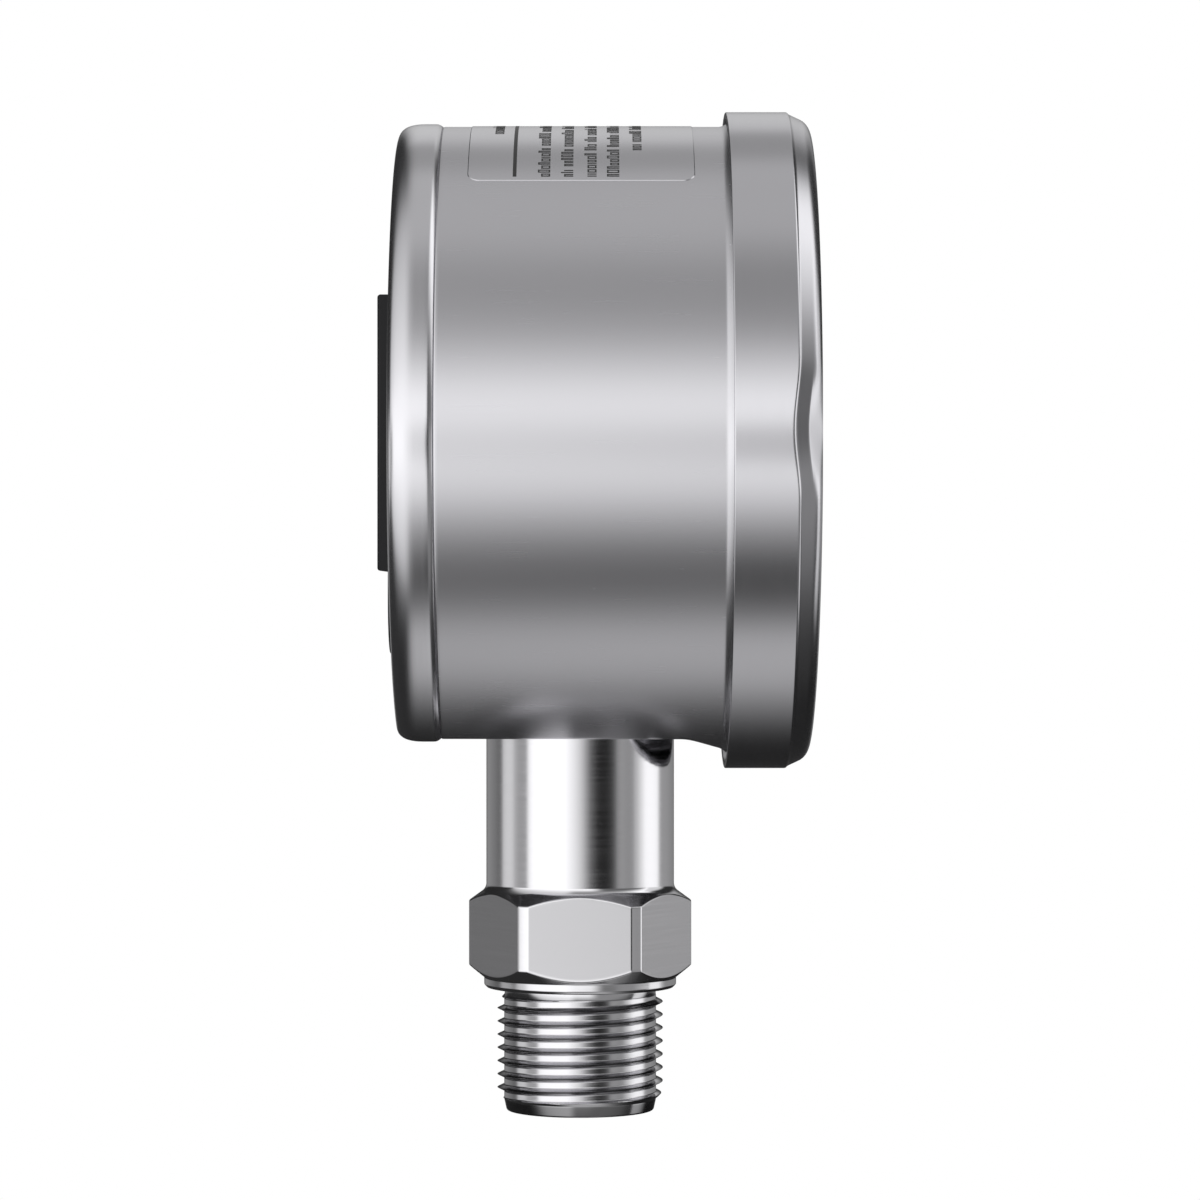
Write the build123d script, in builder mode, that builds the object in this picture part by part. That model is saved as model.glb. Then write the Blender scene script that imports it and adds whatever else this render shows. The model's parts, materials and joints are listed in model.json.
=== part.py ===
from build123d import *
import os
from math import atan2, cos, radians, sin, sqrt, tan

# Digital pressure gauge with a bottom process connection. Millimetres.
# Origin: centre of the process connection's end face. +Z runs up the stem, the display faces -Y
# and the battery door faces +Y. Distances "in front" are towards -Y, "behind" towards +Y.

os.makedirs("parts", exist_ok=True)


# Case
head_height = 84.5  # end face of the thread up to the axis of the round head
case_radius = 39.5
case_wall = 1.0
case_flat_depth = 2.23  # the flattened underside lies this far inside the round
flat_front = 13.4  # the flat ends this far in front of the stem axis and ramps out
flat_ramp_angle = 17.8
case_front = 24.6  # front edge, in front of the stem axis
case_lip = 3.4  # width of the inward lip at the front edge
seam_rear = 16.6  # seam with the rear cover, behind the stem axis
rim_length = 3.6  # stepped rim that enters the rear cover
rim_root = 1.2  # length of the rim inside the tube
rim_wall = 0.8
rim_clearance = 0.12

# Rear cover
cover_rear = 22.4  # outer face, behind the stem axis
cover_step = 0.33  # the cover stands proud of the case by this much
cover_wall = 0.9
cover_corner = 1.9
cover_edge = 0.3

# Bezel ring
ring_step = 1.83  # the ring stands proud of the case by this much
ring_wall = 0.9
ring_rear = 18.2  # rear edge, in front of the stem axis
ring_band_front = 25.9  # front end of the flat band
ring_front = 28.7  # front plane
crown_front = 27.95  # front end of the conical crown
crown_drop = 1.18  # radius lost over the crown
ring_face = 6.73  # band in to the opening
ring_edge = 0.25
dimple_turns = (-90.0, 30.0, 150.0)  # round +Y from the top of the head
dimple_depth = 1.78  # band in to the dimple's floor
dimple_tool_radius = 17.0
dimple_start = 25.2  # rear end of the dimple's slope on the band
dimple_foot = 26.55  # foot of the slope

# Bayonet lugs, one behind each dimple
lug_arc = 22.0
lug_thickness = 1.2
lug_rear = 19.0  # rear face of the ring's lugs
lug_play = 0.2  # axial play between the ring's and the case's lugs
lug_clearance = 0.2  # radial play of each lug

# Process connection
stem_radius = 11.86
stem_fillet = 1.3
hex_flats = 25.0
hex_corner_radius = 14.05
hex_edge_top = 26.45
hex_edge_bottom = 18.35
hex_top_angle = 36.0
hex_bottom_angle = 39.0
collar_radius = 12.13
collar_bottom = 15.55
collar_edge = 0.35
neck_radius = 9.55
thread_radius = 10.4775  # G1/2, drawn at its major diameter
thread_top = 13.7
thread_bottom = 1.45
end_radius = 9.47
end_chamfer = 0.6
inlet_radius = 3.0
spigot_radius = 9.0  # threaded end that passes through the case
spigot_chamfer = 0.6
spigot_reach = 1.5  # spigot above its nut
stem_hole_clearance = 0.2

# Sensor in the stem
sensor_radius = 6.5
sensor_length = 8.0
sensor_depth = 16.0  # underside of the case down to the floor of the sensor pocket
sensor_clearance = 0.1
sensor_face_radius = 4.6
sensor_face_depth = 0.6
o_ring_wire = 1.26
o_ring_gap = 0.02
o_ring_groove = 1.6
o_ring_height = 1.5
lock_ring_length = 3.0
lock_ring_bore = 4.6
lock_ring_slot = 1.5
flex_width = 8.0
flex_thickness = 0.3
flex_bend = 4.0

# Fixing of the stem in the case
gasket_thickness = 0.8
gasket_radius = 11.0
washer_thickness = 0.8
washer_radius = 11.6
nut_flats = 22.0
nut_height = 4.5
nut_chamfer_angle = 30.0
stem_fit = 0.06

# Front panel, display and keys
panel_margin = 2.8  # the panel lies this far behind the edge of the ring's opening
panel_thickness = 2.3
panel_gap = 0.1
front_gasket_inset = 0.2
front_gasket_margin = 0.5
window_side = 18.5  # each side of the window in from the case's outside
window_height = 24.0
display_clearance = 1.87  # upper corners of the display's frame inside the front gasket
lens_margin = 2.0
lens_thickness = 1.2
lens_corner = 2.5
lens_clearance = 0.1
key_radius = 4.6
key_spacing = 16.0
key_drop = 17.5  # head axis down to the keys
key_proud = 0.7
key_edge = 0.4
key_flange = 1.0
key_flange_thickness = 0.8
key_clearance = 0.15
key_stem_radius = 1.9
key_names = ("left", "middle", "right")
pillar_radius = 2.8
pillar_inset = 3.4
pillar_angles = (12.0, 168.0, 205.0, 335.0)

# Display stack
stack_gap = 0.1
glass_margin = 1.25
glass_thickness = 1.8
light_thickness = 1.8
strip_thickness = 1.6
strip_inset = 1.0  # ends of the contact strips inside the glass
frame_wall = 1.25

# Main board
board_margin = 4.1
board_thickness = 1.6
board_front = 19.4  # front face, in front of the stem axis
screw_radius = 1.25
screw_hole_clearance = 0.05
screw_head_radius = 2.3
screw_head_height = 1.5
screw_reach = 4.0
screw_slot = 0.5
switch_size = 6.0
switch_height = 3.4
plunger_radius = 1.7
plunger_proud = 0.9
plunger_depth = 0.6
plunger_room = 1.3
plunger_clearance = 0.1
chip_size = 10.0
chip_height = 1.4
chip_rise = 6.0
amplifier_length = 6.0
amplifier_width = 5.0
amplifier_drop = 6.5
crystal_length = 10.4
crystal_width = 3.8
crystal_height = 3.5
crystal_rise = 16.5
capacitor_radius = 3.1
capacitor_height = 7.0
capacitor_place = 15.0
capacitor_spacing = 9.0
flex_socket_width = 10.0
flex_socket_height = 3.0
flex_socket_depth = 2.2
flex_socket_drop = 14.5
battery_socket_width = 7.0
battery_socket_height = 4.6
battery_socket_depth = 5.0
battery_socket_place = 17.0

# Battery compartment
cell_radius = 5.25
cell_length = 44.5
cell_edge = 0.5
cell_nub_radius = 1.9
cell_nub_length = 0.8
cell_pitch = 10.75
cell_clearance = 0.25
cell_names = ("lower", "upper")
cell_sunk = 0.2  # cells below the outer face of the rear cover
tray_wall = 1.2
tray_clearance = 0.2
contact_room = 1.7
contact_thickness = 0.4
contact_width = 8.0
contact_gap = 0.05
spring_spread = 3.0
spring_width = 5.0
boss_margin = 0.5
barb_width = 8.0
barb_height = 0.9
barb_length = 2.4
flange_width = 54.0
flange_height = 33.2
flange_proud = 1.85
flange_bar = 1.9
flange_base = 0.55
flange_edge = 0.4
lead_radius = 0.6
lead_spacing = 2.4
lead_bend = 3.5
lead_inset = 5.15  # end of the compartment in to the leads

# Battery door
door_clearance = 0.2
door_thickness = 1.2
door_barrel_radius = 0.85
door_pin_radius = 0.4
door_pin_clearance = 0.04
door_pin_seat = 1.3
tab_width = 19.5
tab_reach = 10.2  # below the flange
tab_corner = 7.0
tab_step = 0.4  # the tab lies lower than the door
tab_gap = 0.12
tab_root = 0.6  # overlap of the tab with the door's plate

# Rating label
label_thickness = 0.08
label_gap = 0.01
label_front = 14.0
label_rear = 13.1
label_arc = 80.4
label_corner = 2.6


# Planes, axes and places worked out from the dimensions
head_axis = Axis((0, 0, head_height), (0, 1, 0))
case_flat_drop = case_radius - case_flat_depth
underside = head_height - case_flat_drop
case_rear = seam_rear + rim_length
case_bore = case_radius - case_wall
rim_radius = case_radius + cover_step - cover_wall - rim_clearance
rim_drop = case_flat_drop + cover_step - cover_wall - rim_clearance
ring_radius = case_radius + ring_step
ring_bore = ring_radius - ring_wall
crown_radius = ring_radius - crown_drop
ring_opening = ring_radius - ring_face


def head_plane(y):
    """Plane across the head at y, seen from the front: x to +X, y to +Z, normal to -Y."""
    return Plane(origin=(0, y, head_height), x_dir=(1, 0, 0), z_dir=(0, -1, 0))


def section_at(turn):
    """Plane through the head axis, turned round +Y from the top: x to +Y, y outwards."""
    away = radians(turn)
    return Plane(origin=(0, 0, head_height), x_dir=(0, 1, 0), z_dir=(cos(away), 0, -sin(away)))


section = section_at(0)


def flattened(radius, drop):
    """Draws a disc whose underside is cut flat at the given drop below the head axis."""
    Circle(radius)
    with Locations((0, -drop)):
        Rectangle(2 * radius, radius, align=(Align.CENTER, Align.MAX), mode=Mode.SUBTRACT)


def ramp_cut(drop):
    """Draws, in the section plane, what the flat and its ramp take away under the head."""
    low = 2 * case_radius
    ramp_end = flat_front + (low - drop) / tan(radians(flat_ramp_angle))
    Polygon((cover_rear, -drop), (-flat_front, -drop), (-ramp_end, -low), (cover_rear, -low), align=None)


def lug_outline(rear, inner, outer):
    """Draws the section of a bayonet lug whose rear face lies that far in front."""
    with Locations((-rear, inner)):
        Rectangle(lug_thickness, outer - inner, align=(Align.MAX, Align.MIN))


# Case: a pressed tube with a flattened underside, an inward lip and three bayonet lugs.
# The room inside it is made first, with the flat one wall further in.
case_lug_rear = lug_rear + lug_thickness + lug_play
with BuildPart() as case_room:
    with BuildSketch(head_plane(seam_rear - rim_root)):
        Circle(case_bore)
    extrude(amount=seam_rear - rim_root + case_front - case_wall)
    with BuildSketch(section):
        ramp_cut(case_flat_drop - case_wall)
    extrude(amount=case_radius, both=True, mode=Mode.SUBTRACT)

with BuildPart() as case_body:
    with BuildSketch(head_plane(seam_rear)):
        Circle(case_radius)
    extrude(amount=seam_rear + case_front)
    with BuildSketch(section):
        ramp_cut(case_flat_drop)
    extrude(amount=case_radius, both=True, mode=Mode.SUBTRACT)
    with BuildSketch(head_plane(case_rear)):
        flattened(rim_radius, rim_drop)
    extrude(amount=rim_length + rim_root)
    for turn in dimple_turns:
        with BuildSketch(section_at(turn - lug_arc / 2)):
            lug_outline(case_lug_rear, case_bore, ring_bore - lug_clearance)
        revolve(axis=head_axis, revolution_arc=lug_arc)
    add(case_room.part, mode=Mode.SUBTRACT)
    with BuildSketch(head_plane(case_rear)):
        flattened(rim_radius - rim_wall, rim_drop - rim_wall)
    extrude(amount=rim_length + 2 * rim_root, mode=Mode.SUBTRACT)
    with BuildSketch(head_plane(-case_front)):
        Circle(case_bore - case_lip)
    extrude(amount=-2 * case_wall, mode=Mode.SUBTRACT)
    with BuildSketch(Plane.XY.offset(underside - case_wall)):
        Circle(spigot_radius + stem_hole_clearance)
    extrude(amount=3 * case_wall, mode=Mode.SUBTRACT)
case_body.part.label = "case_body"
export_step(case_body.part, "parts/case_body.step")


# Rear cover: a pressed cap with a rounded rear corner and the cut-out for the compartment
tray_length = cell_length + 2 * (contact_room + tray_wall)
tray_height = (len(cell_names) - 1) * cell_pitch + 2 * (cell_radius + cell_clearance + tray_wall)

with BuildPart() as cover_room:
    with BuildSketch(head_plane(cover_rear - cover_wall)):
        flattened(case_radius + cover_step - cover_wall, case_flat_drop + cover_step - cover_wall)
    extrude(amount=cover_rear - seam_rear)
    fillet(cover_room.faces().sort_by(Axis.Y)[-1].edges(), cover_corner - cover_wall)

with BuildPart() as rear_cover:
    with BuildSketch(head_plane(cover_rear)):
        flattened(case_radius + cover_step, case_flat_drop + cover_step)
    extrude(amount=cover_rear - seam_rear)
    fillet(rear_cover.faces().sort_by(Axis.Y)[-1].edges(), cover_corner)
    chamfer(rear_cover.faces().sort_by(Axis.Y)[0].edges(), cover_edge)
    add(cover_room.part, mode=Mode.SUBTRACT)
    with BuildSketch(head_plane(cover_rear)):
        Rectangle(tray_length + 2 * tray_clearance, tray_height + 2 * tray_clearance)
    extrude(amount=2 * cover_wall, both=True, mode=Mode.SUBTRACT)
rear_cover.part.label = "rear_cover"
export_step(rear_cover.part, "parts/rear_cover.step")


# Bezel ring: one pressed section with a band, a conical crown and a round nose
crown_lean = atan2(ring_radius - crown_radius, crown_front - ring_band_front)
nose_arc = (ring_front - crown_front) / (1 - sin(crown_lean))
nose_centre = (
    -crown_front + nose_arc * sin(crown_lean),
    crown_radius - nose_arc * cos(crown_lean),
)
slope_lean = atan2(dimple_depth, dimple_foot - dimple_start)
dimple_floor = ring_radius - dimple_depth
dimple_axis_radius = dimple_floor + dimple_tool_radius
dimple_axis = Axis((0, 0, head_height + dimple_axis_radius), (0, 1, 0))


def ring_outline(inset, rear):
    """Draws, in the section plane, the ring's filled outline moved inwards by inset."""
    bend = nose_arc - inset
    half_way = (crown_lean + radians(90)) / 2
    crown_end = (nose_centre[0] - bend * sin(crown_lean), nose_centre[1] + bend * cos(crown_lean))
    nose_middle = (nose_centre[0] - bend * sin(half_way), nose_centre[1] + bend * cos(half_way))
    nose_end = (nose_centre[0] - bend, nose_centre[1])
    knee = (-ring_band_front + inset * tan(crown_lean / 2), ring_radius - inset)
    with BuildLine() as outline:
        Polyline((-rear, 0), (-rear, ring_radius - inset), knee, crown_end)
        ThreePointArc(crown_end, nose_middle, nose_end)
        Polyline(nose_end, (nose_end[0], 0), (-rear, 0))
    make_face(outline.edges())


def dimple_outline(inset):
    """Draws, in the section plane, the outline of the round tool that presses a dimple."""
    reach = ring_wall + ring_edge
    rise = reach / tan(slope_lean)
    slope_end = -dimple_start + inset / sin(slope_lean)
    foot = -dimple_foot + inset * tan(slope_lean / 2)
    Polygon(
        (-2 * ring_front, dimple_axis_radius),
        (-2 * ring_front, dimple_floor - inset),
        (foot, dimple_floor - inset),
        (slope_end + rise, ring_radius + reach),
        (slope_end + rise, dimple_axis_radius),
        align=None,
    )


with BuildPart() as dimple_outside:
    with BuildSketch(section):
        dimple_outline(0)
    revolve(axis=dimple_axis)

with BuildPart() as dimple_inside:
    with BuildSketch(section):
        dimple_outline(ring_wall)
    revolve(axis=dimple_axis)

with BuildPart() as ring_room:
    with BuildSketch(section):
        ring_outline(ring_wall, ring_rear - ring_wall)
    revolve(axis=head_axis)
    for turn in dimple_turns:
        add(dimple_inside.part.rotate(head_axis, turn), mode=Mode.SUBTRACT)

with BuildPart() as bezel_ring:
    with BuildSketch(section):
        ring_outline(0, ring_rear)
    revolve(axis=head_axis)
    rear_rim = bezel_ring.faces().sort_by(Axis.Y)[-1].edges()
    chamfer(rear_rim, ring_edge)
    for turn in dimple_turns:
        add(dimple_outside.part.rotate(head_axis, turn), mode=Mode.SUBTRACT)
    add(ring_room.part, mode=Mode.SUBTRACT)
    with BuildSketch(head_plane(-ring_front)):
        Circle(ring_opening)
    extrude(amount=2 * ring_wall, both=True, mode=Mode.SUBTRACT)
    for turn in dimple_turns:
        with BuildSketch(section_at(turn - lug_arc / 2)):
            lug_outline(lug_rear, case_radius + lug_clearance, ring_bore + ring_wall / 2)
        revolve(axis=head_axis, revolution_arc=lug_arc)
bezel_ring.part.label = "bezel_ring"
export_step(bezel_ring.part, "parts/bezel_ring.step")


# Process connection: one turned piece, with a milled hexagon and the sensor pocket
pocket_floor = underside - sensor_depth
pocket_radius = sensor_radius + sensor_clearance
gasket_floor = underside + case_wall
washer_floor = gasket_floor + gasket_thickness
nut_floor = washer_floor + washer_thickness
spigot_top = nut_floor + nut_height + spigot_reach
hex_foot = hex_edge_bottom - (hex_corner_radius - collar_radius) * tan(radians(hex_bottom_angle))
fillet_turn = radians(90 - hex_top_angle)
fillet_foot_radius = stem_radius + stem_fillet * (1 - cos(fillet_turn))
fillet_foot = hex_edge_top + (hex_corner_radius - fillet_foot_radius) * tan(radians(hex_top_angle))
fillet_head = fillet_foot + stem_fillet * sin(fillet_turn)
fillet_middle = (
    stem_radius + stem_fillet * (1 - cos(fillet_turn / 2)),
    fillet_head - stem_fillet * sin(fillet_turn / 2),
)
thread_lead = thread_radius - end_radius
thread_runout = thread_radius - neck_radius

with BuildPart() as hexagon:
    with BuildSketch(Plane.XY.offset(hex_foot)):
        RegularPolygon(hex_flats / 2, 6, major_radius=False, rotation=30)
    extrude(amount=fillet_foot - hex_foot)
    with BuildSketch(Plane.XZ):
        Polygon(
            (0, hex_foot),
            (collar_radius, hex_foot),
            (hex_corner_radius, hex_edge_bottom),
            (hex_corner_radius, hex_edge_top),
            (fillet_foot_radius, fillet_foot),
            (0, fillet_foot),
            align=None,
        )
    revolve(axis=Axis.Z, mode=Mode.INTERSECT)

with BuildPart() as process_connection:
    with BuildSketch(Plane.XZ):
        with BuildLine():
            Polyline(
                (0, 0),
                (end_radius - end_chamfer, 0),
                (end_radius, end_chamfer),
                (end_radius, thread_bottom),
                (thread_radius, thread_bottom + thread_lead),
                (thread_radius, thread_top),
                (neck_radius, thread_top + thread_runout),
                (neck_radius, collar_bottom),
                (collar_radius - collar_edge, collar_bottom),
                (collar_radius, collar_bottom + collar_edge),
                (collar_radius, hex_foot),
                (stem_radius, hex_foot),
                (stem_radius, fillet_foot),
                (fillet_foot_radius, fillet_foot),
            )
            ThreePointArc((fillet_foot_radius, fillet_foot), fillet_middle, (stem_radius, fillet_head))
            Polyline(
                (stem_radius, fillet_head),
                (stem_radius, underside),
                (spigot_radius, underside),
                (spigot_radius, spigot_top - spigot_chamfer),
                (spigot_radius - spigot_chamfer, spigot_top),
                (0, spigot_top),
                (0, 0),
            )
        make_face()
    revolve(axis=Axis.Z)
    add(hexagon.part)
    with BuildSketch(Plane.XY):
        Circle(inlet_radius)
    extrude(amount=pocket_floor, mode=Mode.SUBTRACT)
    with BuildSketch(Plane.XY.offset(pocket_floor)):
        Circle(pocket_radius)
    extrude(amount=spigot_top - pocket_floor, mode=Mode.SUBTRACT)
process_connection.part.label = "process_connection"
export_step(process_connection.part, "parts/process_connection.step")


# Pressure sensor with its O-ring groove, the O-ring and the slotted lock ring above it
groove_radius = pocket_radius - o_ring_wire - 2 * o_ring_gap
o_ring_radius = pocket_radius - o_ring_gap - o_ring_wire / 2
with BuildPart() as pressure_sensor:
    with BuildSketch(Plane.XY.offset(pocket_floor)):
        Circle(sensor_radius)
    extrude(amount=sensor_length)
    with BuildSketch(Plane.XY.offset(pocket_floor + o_ring_height)):
        Circle(2 * sensor_radius)
        Circle(groove_radius, mode=Mode.SUBTRACT)
    extrude(amount=o_ring_groove, mode=Mode.SUBTRACT)
    with BuildSketch(Plane.XY.offset(pocket_floor)):
        Circle(sensor_face_radius)
    extrude(amount=sensor_face_depth, mode=Mode.SUBTRACT)
pressure_sensor.part.label = "pressure_sensor"
export_step(pressure_sensor.part, "parts/pressure_sensor.step")

with BuildPart() as sensor_o_ring:
    with BuildSketch(Plane.XZ):
        with Locations((o_ring_radius, pocket_floor + o_ring_height + o_ring_groove / 2)):
            Circle(o_ring_wire / 2)
    revolve(axis=Axis.Z)
sensor_o_ring.part.label = "sensor_o_ring"
export_step(sensor_o_ring.part, "parts/sensor_o_ring.step")

with BuildPart() as sensor_lock_ring:
    with BuildSketch(Plane.XY.offset(pocket_floor + sensor_length)):
        Circle(pocket_radius - stem_fit)
        Circle(lock_ring_bore, mode=Mode.SUBTRACT)
    extrude(amount=lock_ring_length)
    with BuildSketch(Plane.XY.offset(pocket_floor + sensor_length + lock_ring_length)):
        Rectangle(3 * sensor_radius, lock_ring_slot)
    extrude(amount=-lock_ring_slot, mode=Mode.SUBTRACT)
sensor_lock_ring.part.label = "sensor_lock_ring"
export_step(sensor_lock_ring.part, "parts/sensor_lock_ring.step")


# Gasket, washer and nut that hold the stem in the case
with BuildPart() as stem_gasket:
    with BuildSketch(Plane.XY.offset(gasket_floor)):
        Circle(gasket_radius)
        Circle(spigot_radius + stem_fit, mode=Mode.SUBTRACT)
    extrude(amount=gasket_thickness)
stem_gasket.part.label = "stem_gasket"
export_step(stem_gasket.part, "parts/stem_gasket.step")

with BuildPart() as stem_washer:
    with BuildSketch(Plane.XY.offset(washer_floor)):
        Circle(washer_radius)
        Circle(spigot_radius + stem_fit, mode=Mode.SUBTRACT)
    extrude(amount=washer_thickness)
stem_washer.part.label = "stem_washer"
export_step(stem_washer.part, "parts/stem_washer.step")

nut_corner = nut_flats / 2 / cos(radians(30))
nut_shoulder = (nut_corner - nut_flats / 2) * tan(radians(nut_chamfer_angle))
with BuildPart() as stem_nut:
    with BuildSketch(Plane.XY.offset(nut_floor)):
        RegularPolygon(nut_flats / 2, 6, major_radius=False)
        Circle(spigot_radius + stem_fit, mode=Mode.SUBTRACT)
    extrude(amount=nut_height)
    with BuildSketch(Plane.XZ):
        Polygon(
            (0, nut_floor),
            (nut_corner, nut_floor),
            (nut_corner, nut_floor + nut_height - nut_shoulder),
            (nut_flats / 2, nut_floor + nut_height),
            (0, nut_floor + nut_height),
            align=None,
        )
    revolve(axis=Axis.Z, mode=Mode.INTERSECT)
stem_nut.part.label = "stem_nut"
export_step(stem_nut.part, "parts/stem_nut.step")


# Front panel: a moulded plate with the display window, the key holes and four pillars
panel_radius = ring_opening + panel_margin
front_gasket_bore = case_bore - case_lip + front_gasket_margin
panel_front = ring_front - ring_wall - panel_gap
panel_rear = panel_front - panel_thickness
lens_recess = lens_thickness + lens_clearance / 2
window_width = 2 * (case_radius - window_side)
lens_width = window_width + 2 * lens_margin
lens_height = window_height + 2 * lens_margin
glass_width = window_width + 2 * glass_margin
glass_height = window_height + 2 * glass_margin
frame_width = glass_width + 2 * (frame_wall + stack_gap)
frame_height = glass_height + 2 * (frame_wall + stack_gap)
frame_corner = front_gasket_bore - display_clearance
window_rise = sqrt(frame_corner**2 - (frame_width / 2) ** 2) - frame_height / 2
key_places = [((index - 1) * key_spacing, -key_drop) for index in range(len(key_names))]
board_radius = case_bore - board_margin
pillar_circle = board_radius - pillar_inset
pillar_places = [
    (pillar_circle * cos(radians(angle)), pillar_circle * sin(radians(angle))) for angle in pillar_angles
]

with BuildPart() as front_panel:
    with BuildSketch(head_plane(-panel_rear)):
        Circle(panel_radius)
    extrude(amount=panel_thickness)
    with BuildSketch(head_plane(-panel_rear)):
        with Locations(*pillar_places):
            Circle(pillar_radius)
    extrude(amount=board_front - panel_rear)
    with BuildSketch(head_plane(-board_front)):
        with Locations(*pillar_places):
            Circle(screw_radius + screw_hole_clearance)
    extrude(amount=screw_reach, mode=Mode.SUBTRACT)
    with BuildSketch(head_plane(-panel_front)):
        with Locations((0, window_rise)):
            RectangleRounded(lens_width + 2 * lens_clearance, lens_height + 2 * lens_clearance, lens_corner)
    extrude(amount=-lens_recess, mode=Mode.SUBTRACT)
    with BuildSketch(head_plane(-panel_front)):
        with Locations((0, window_rise)):
            RectangleRounded(window_width, window_height, lens_corner / 2)
        with Locations(*key_places):
            Circle(key_radius + key_clearance)
    extrude(amount=-panel_thickness, mode=Mode.SUBTRACT)
front_panel.part.label = "front_panel"
export_step(front_panel.part, "parts/front_panel.step")

with BuildPart() as front_gasket:
    with BuildSketch(head_plane(-case_front)):
        Circle(panel_radius - front_gasket_inset)
        Circle(front_gasket_bore, mode=Mode.SUBTRACT)
    extrude(amount=panel_rear - case_front)
front_gasket.part.label = "front_gasket"
export_step(front_gasket.part, "parts/front_gasket.step")

with BuildPart() as display_lens:
    with BuildSketch(head_plane(-(panel_front - lens_recess))):
        with Locations((0, window_rise)):
            RectangleRounded(lens_width, lens_height, lens_corner)
    extrude(amount=lens_thickness)
display_lens.part.label = "display_lens"
export_step(display_lens.part, "parts/display_lens.step")


# Display stack between the panel and the board: glass cell, light, contact strips and frame
glass_front = panel_rear - stack_gap
glass_rear = glass_front - glass_thickness
light_height = glass_height - 2 * (strip_thickness + stack_gap)

with BuildPart() as lcd_glass:
    with BuildSketch(head_plane(-glass_rear)):
        with Locations((0, window_rise)):
            Rectangle(glass_width, glass_height)
    extrude(amount=glass_thickness)
lcd_glass.part.label = "lcd_glass"
export_step(lcd_glass.part, "parts/lcd_glass.step")

with BuildPart() as backlight_plate:
    with BuildSketch(head_plane(-(glass_rear - stack_gap))):
        with Locations((0, window_rise)):
            Rectangle(glass_width, light_height)
    extrude(amount=-light_thickness)
backlight_plate.part.label = "backlight_plate"
export_step(backlight_plate.part, "parts/backlight_plate.step")

with BuildPart() as lcd_connectors:
    with BuildSketch(head_plane(-board_front)):
        with Locations((0, window_rise)):
            with GridLocations(0, glass_height - strip_thickness, 1, 2):
                Rectangle(glass_width - 2 * strip_inset, strip_thickness)
    extrude(amount=glass_rear - board_front)
lcd_connectors.part.label = "lcd_connectors"
export_step(lcd_connectors.part, "parts/lcd_connectors.step")

with BuildPart() as lcd_frame:
    with BuildSketch(head_plane(-board_front)):
        with Locations((0, window_rise)):
            Rectangle(frame_width, frame_height)
            Rectangle(glass_width + 2 * stack_gap, glass_height + 2 * stack_gap, mode=Mode.SUBTRACT)
    extrude(amount=glass_front - board_front)
lcd_frame.part.label = "lcd_frame"
export_step(lcd_frame.part, "parts/lcd_frame.step")


# Main board, its screws and the parts soldered to it
board_rear = board_front - board_thickness
with BuildPart() as main_board:
    with BuildSketch(head_plane(-board_rear)):
        Circle(board_radius)
        with Locations(*pillar_places):
            Circle(screw_radius + screw_hole_clearance, mode=Mode.SUBTRACT)
    extrude(amount=board_thickness)
main_board.part.label = "main_board"
export_step(main_board.part, "parts/main_board.step")

with BuildPart() as board_screws:
    with BuildSketch(head_plane(-board_rear)):
        with Locations(*pillar_places):
            Circle(screw_head_radius)
    extrude(amount=-screw_head_height)
    with BuildSketch(head_plane(-board_rear)):
        with Locations(*pillar_places):
            Circle(screw_radius)
    extrude(amount=board_thickness + screw_reach - screw_slot)
    with BuildSketch(head_plane(-(board_rear - screw_head_height))):
        with Locations(*pillar_places):
            Rectangle(2 * screw_head_radius, screw_slot)
    extrude(amount=screw_slot, mode=Mode.SUBTRACT)
board_screws.part.label = "board_screws"
export_step(board_screws.part, "parts/board_screws.step")

with BuildPart() as tact_switches:
    with BuildSketch(head_plane(-board_front)):
        with Locations(*key_places):
            Rectangle(switch_size, switch_size)
    extrude(amount=switch_height)
    with BuildSketch(head_plane(-(board_front + switch_height))):
        with Locations(*key_places):
            Circle(plunger_radius + plunger_clearance)
    extrude(amount=-plunger_room, mode=Mode.SUBTRACT)
tact_switches.part.label = "tact_switches"
export_step(tact_switches.part, "parts/tact_switches.step")

with BuildPart() as microcontroller:
    with BuildSketch(head_plane(-board_rear)):
        with Locations((0, chip_rise)):
            Rectangle(chip_size, chip_size)
    extrude(amount=-chip_height)
microcontroller.part.label = "microcontroller"
export_step(microcontroller.part, "parts/microcontroller.step")

with BuildPart() as signal_chip:
    with BuildSketch(head_plane(-board_rear)):
        with Locations((0, -amplifier_drop)):
            Rectangle(amplifier_length, amplifier_width)
    extrude(amount=-chip_height)
signal_chip.part.label = "signal_chip"
export_step(signal_chip.part, "parts/signal_chip.step")

with BuildPart() as quartz_crystal:
    with BuildSketch(head_plane(-board_rear)):
        with Locations((0, crystal_rise)):
            SlotOverall(crystal_length, crystal_width)
    extrude(amount=-crystal_height)
quartz_crystal.part.label = "quartz_crystal"
export_step(quartz_crystal.part, "parts/quartz_crystal.step")

with BuildPart() as buffer_capacitors:
    with BuildSketch(head_plane(-board_rear)):
        with Locations((capacitor_place, 0)):
            with GridLocations(0, capacitor_spacing, 1, 2):
                Circle(capacitor_radius)
    extrude(amount=-capacitor_height)
buffer_capacitors.part.label = "buffer_capacitors"
export_step(buffer_capacitors.part, "parts/buffer_capacitors.step")

with BuildPart() as flex_socket:
    with BuildSketch(head_plane(-board_rear)):
        with Locations((0, -flex_socket_drop)):
            Rectangle(flex_socket_width, flex_socket_height)
    extrude(amount=-flex_socket_depth)
flex_socket.part.label = "flex_socket"
export_step(flex_socket.part, "parts/flex_socket.step")

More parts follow.
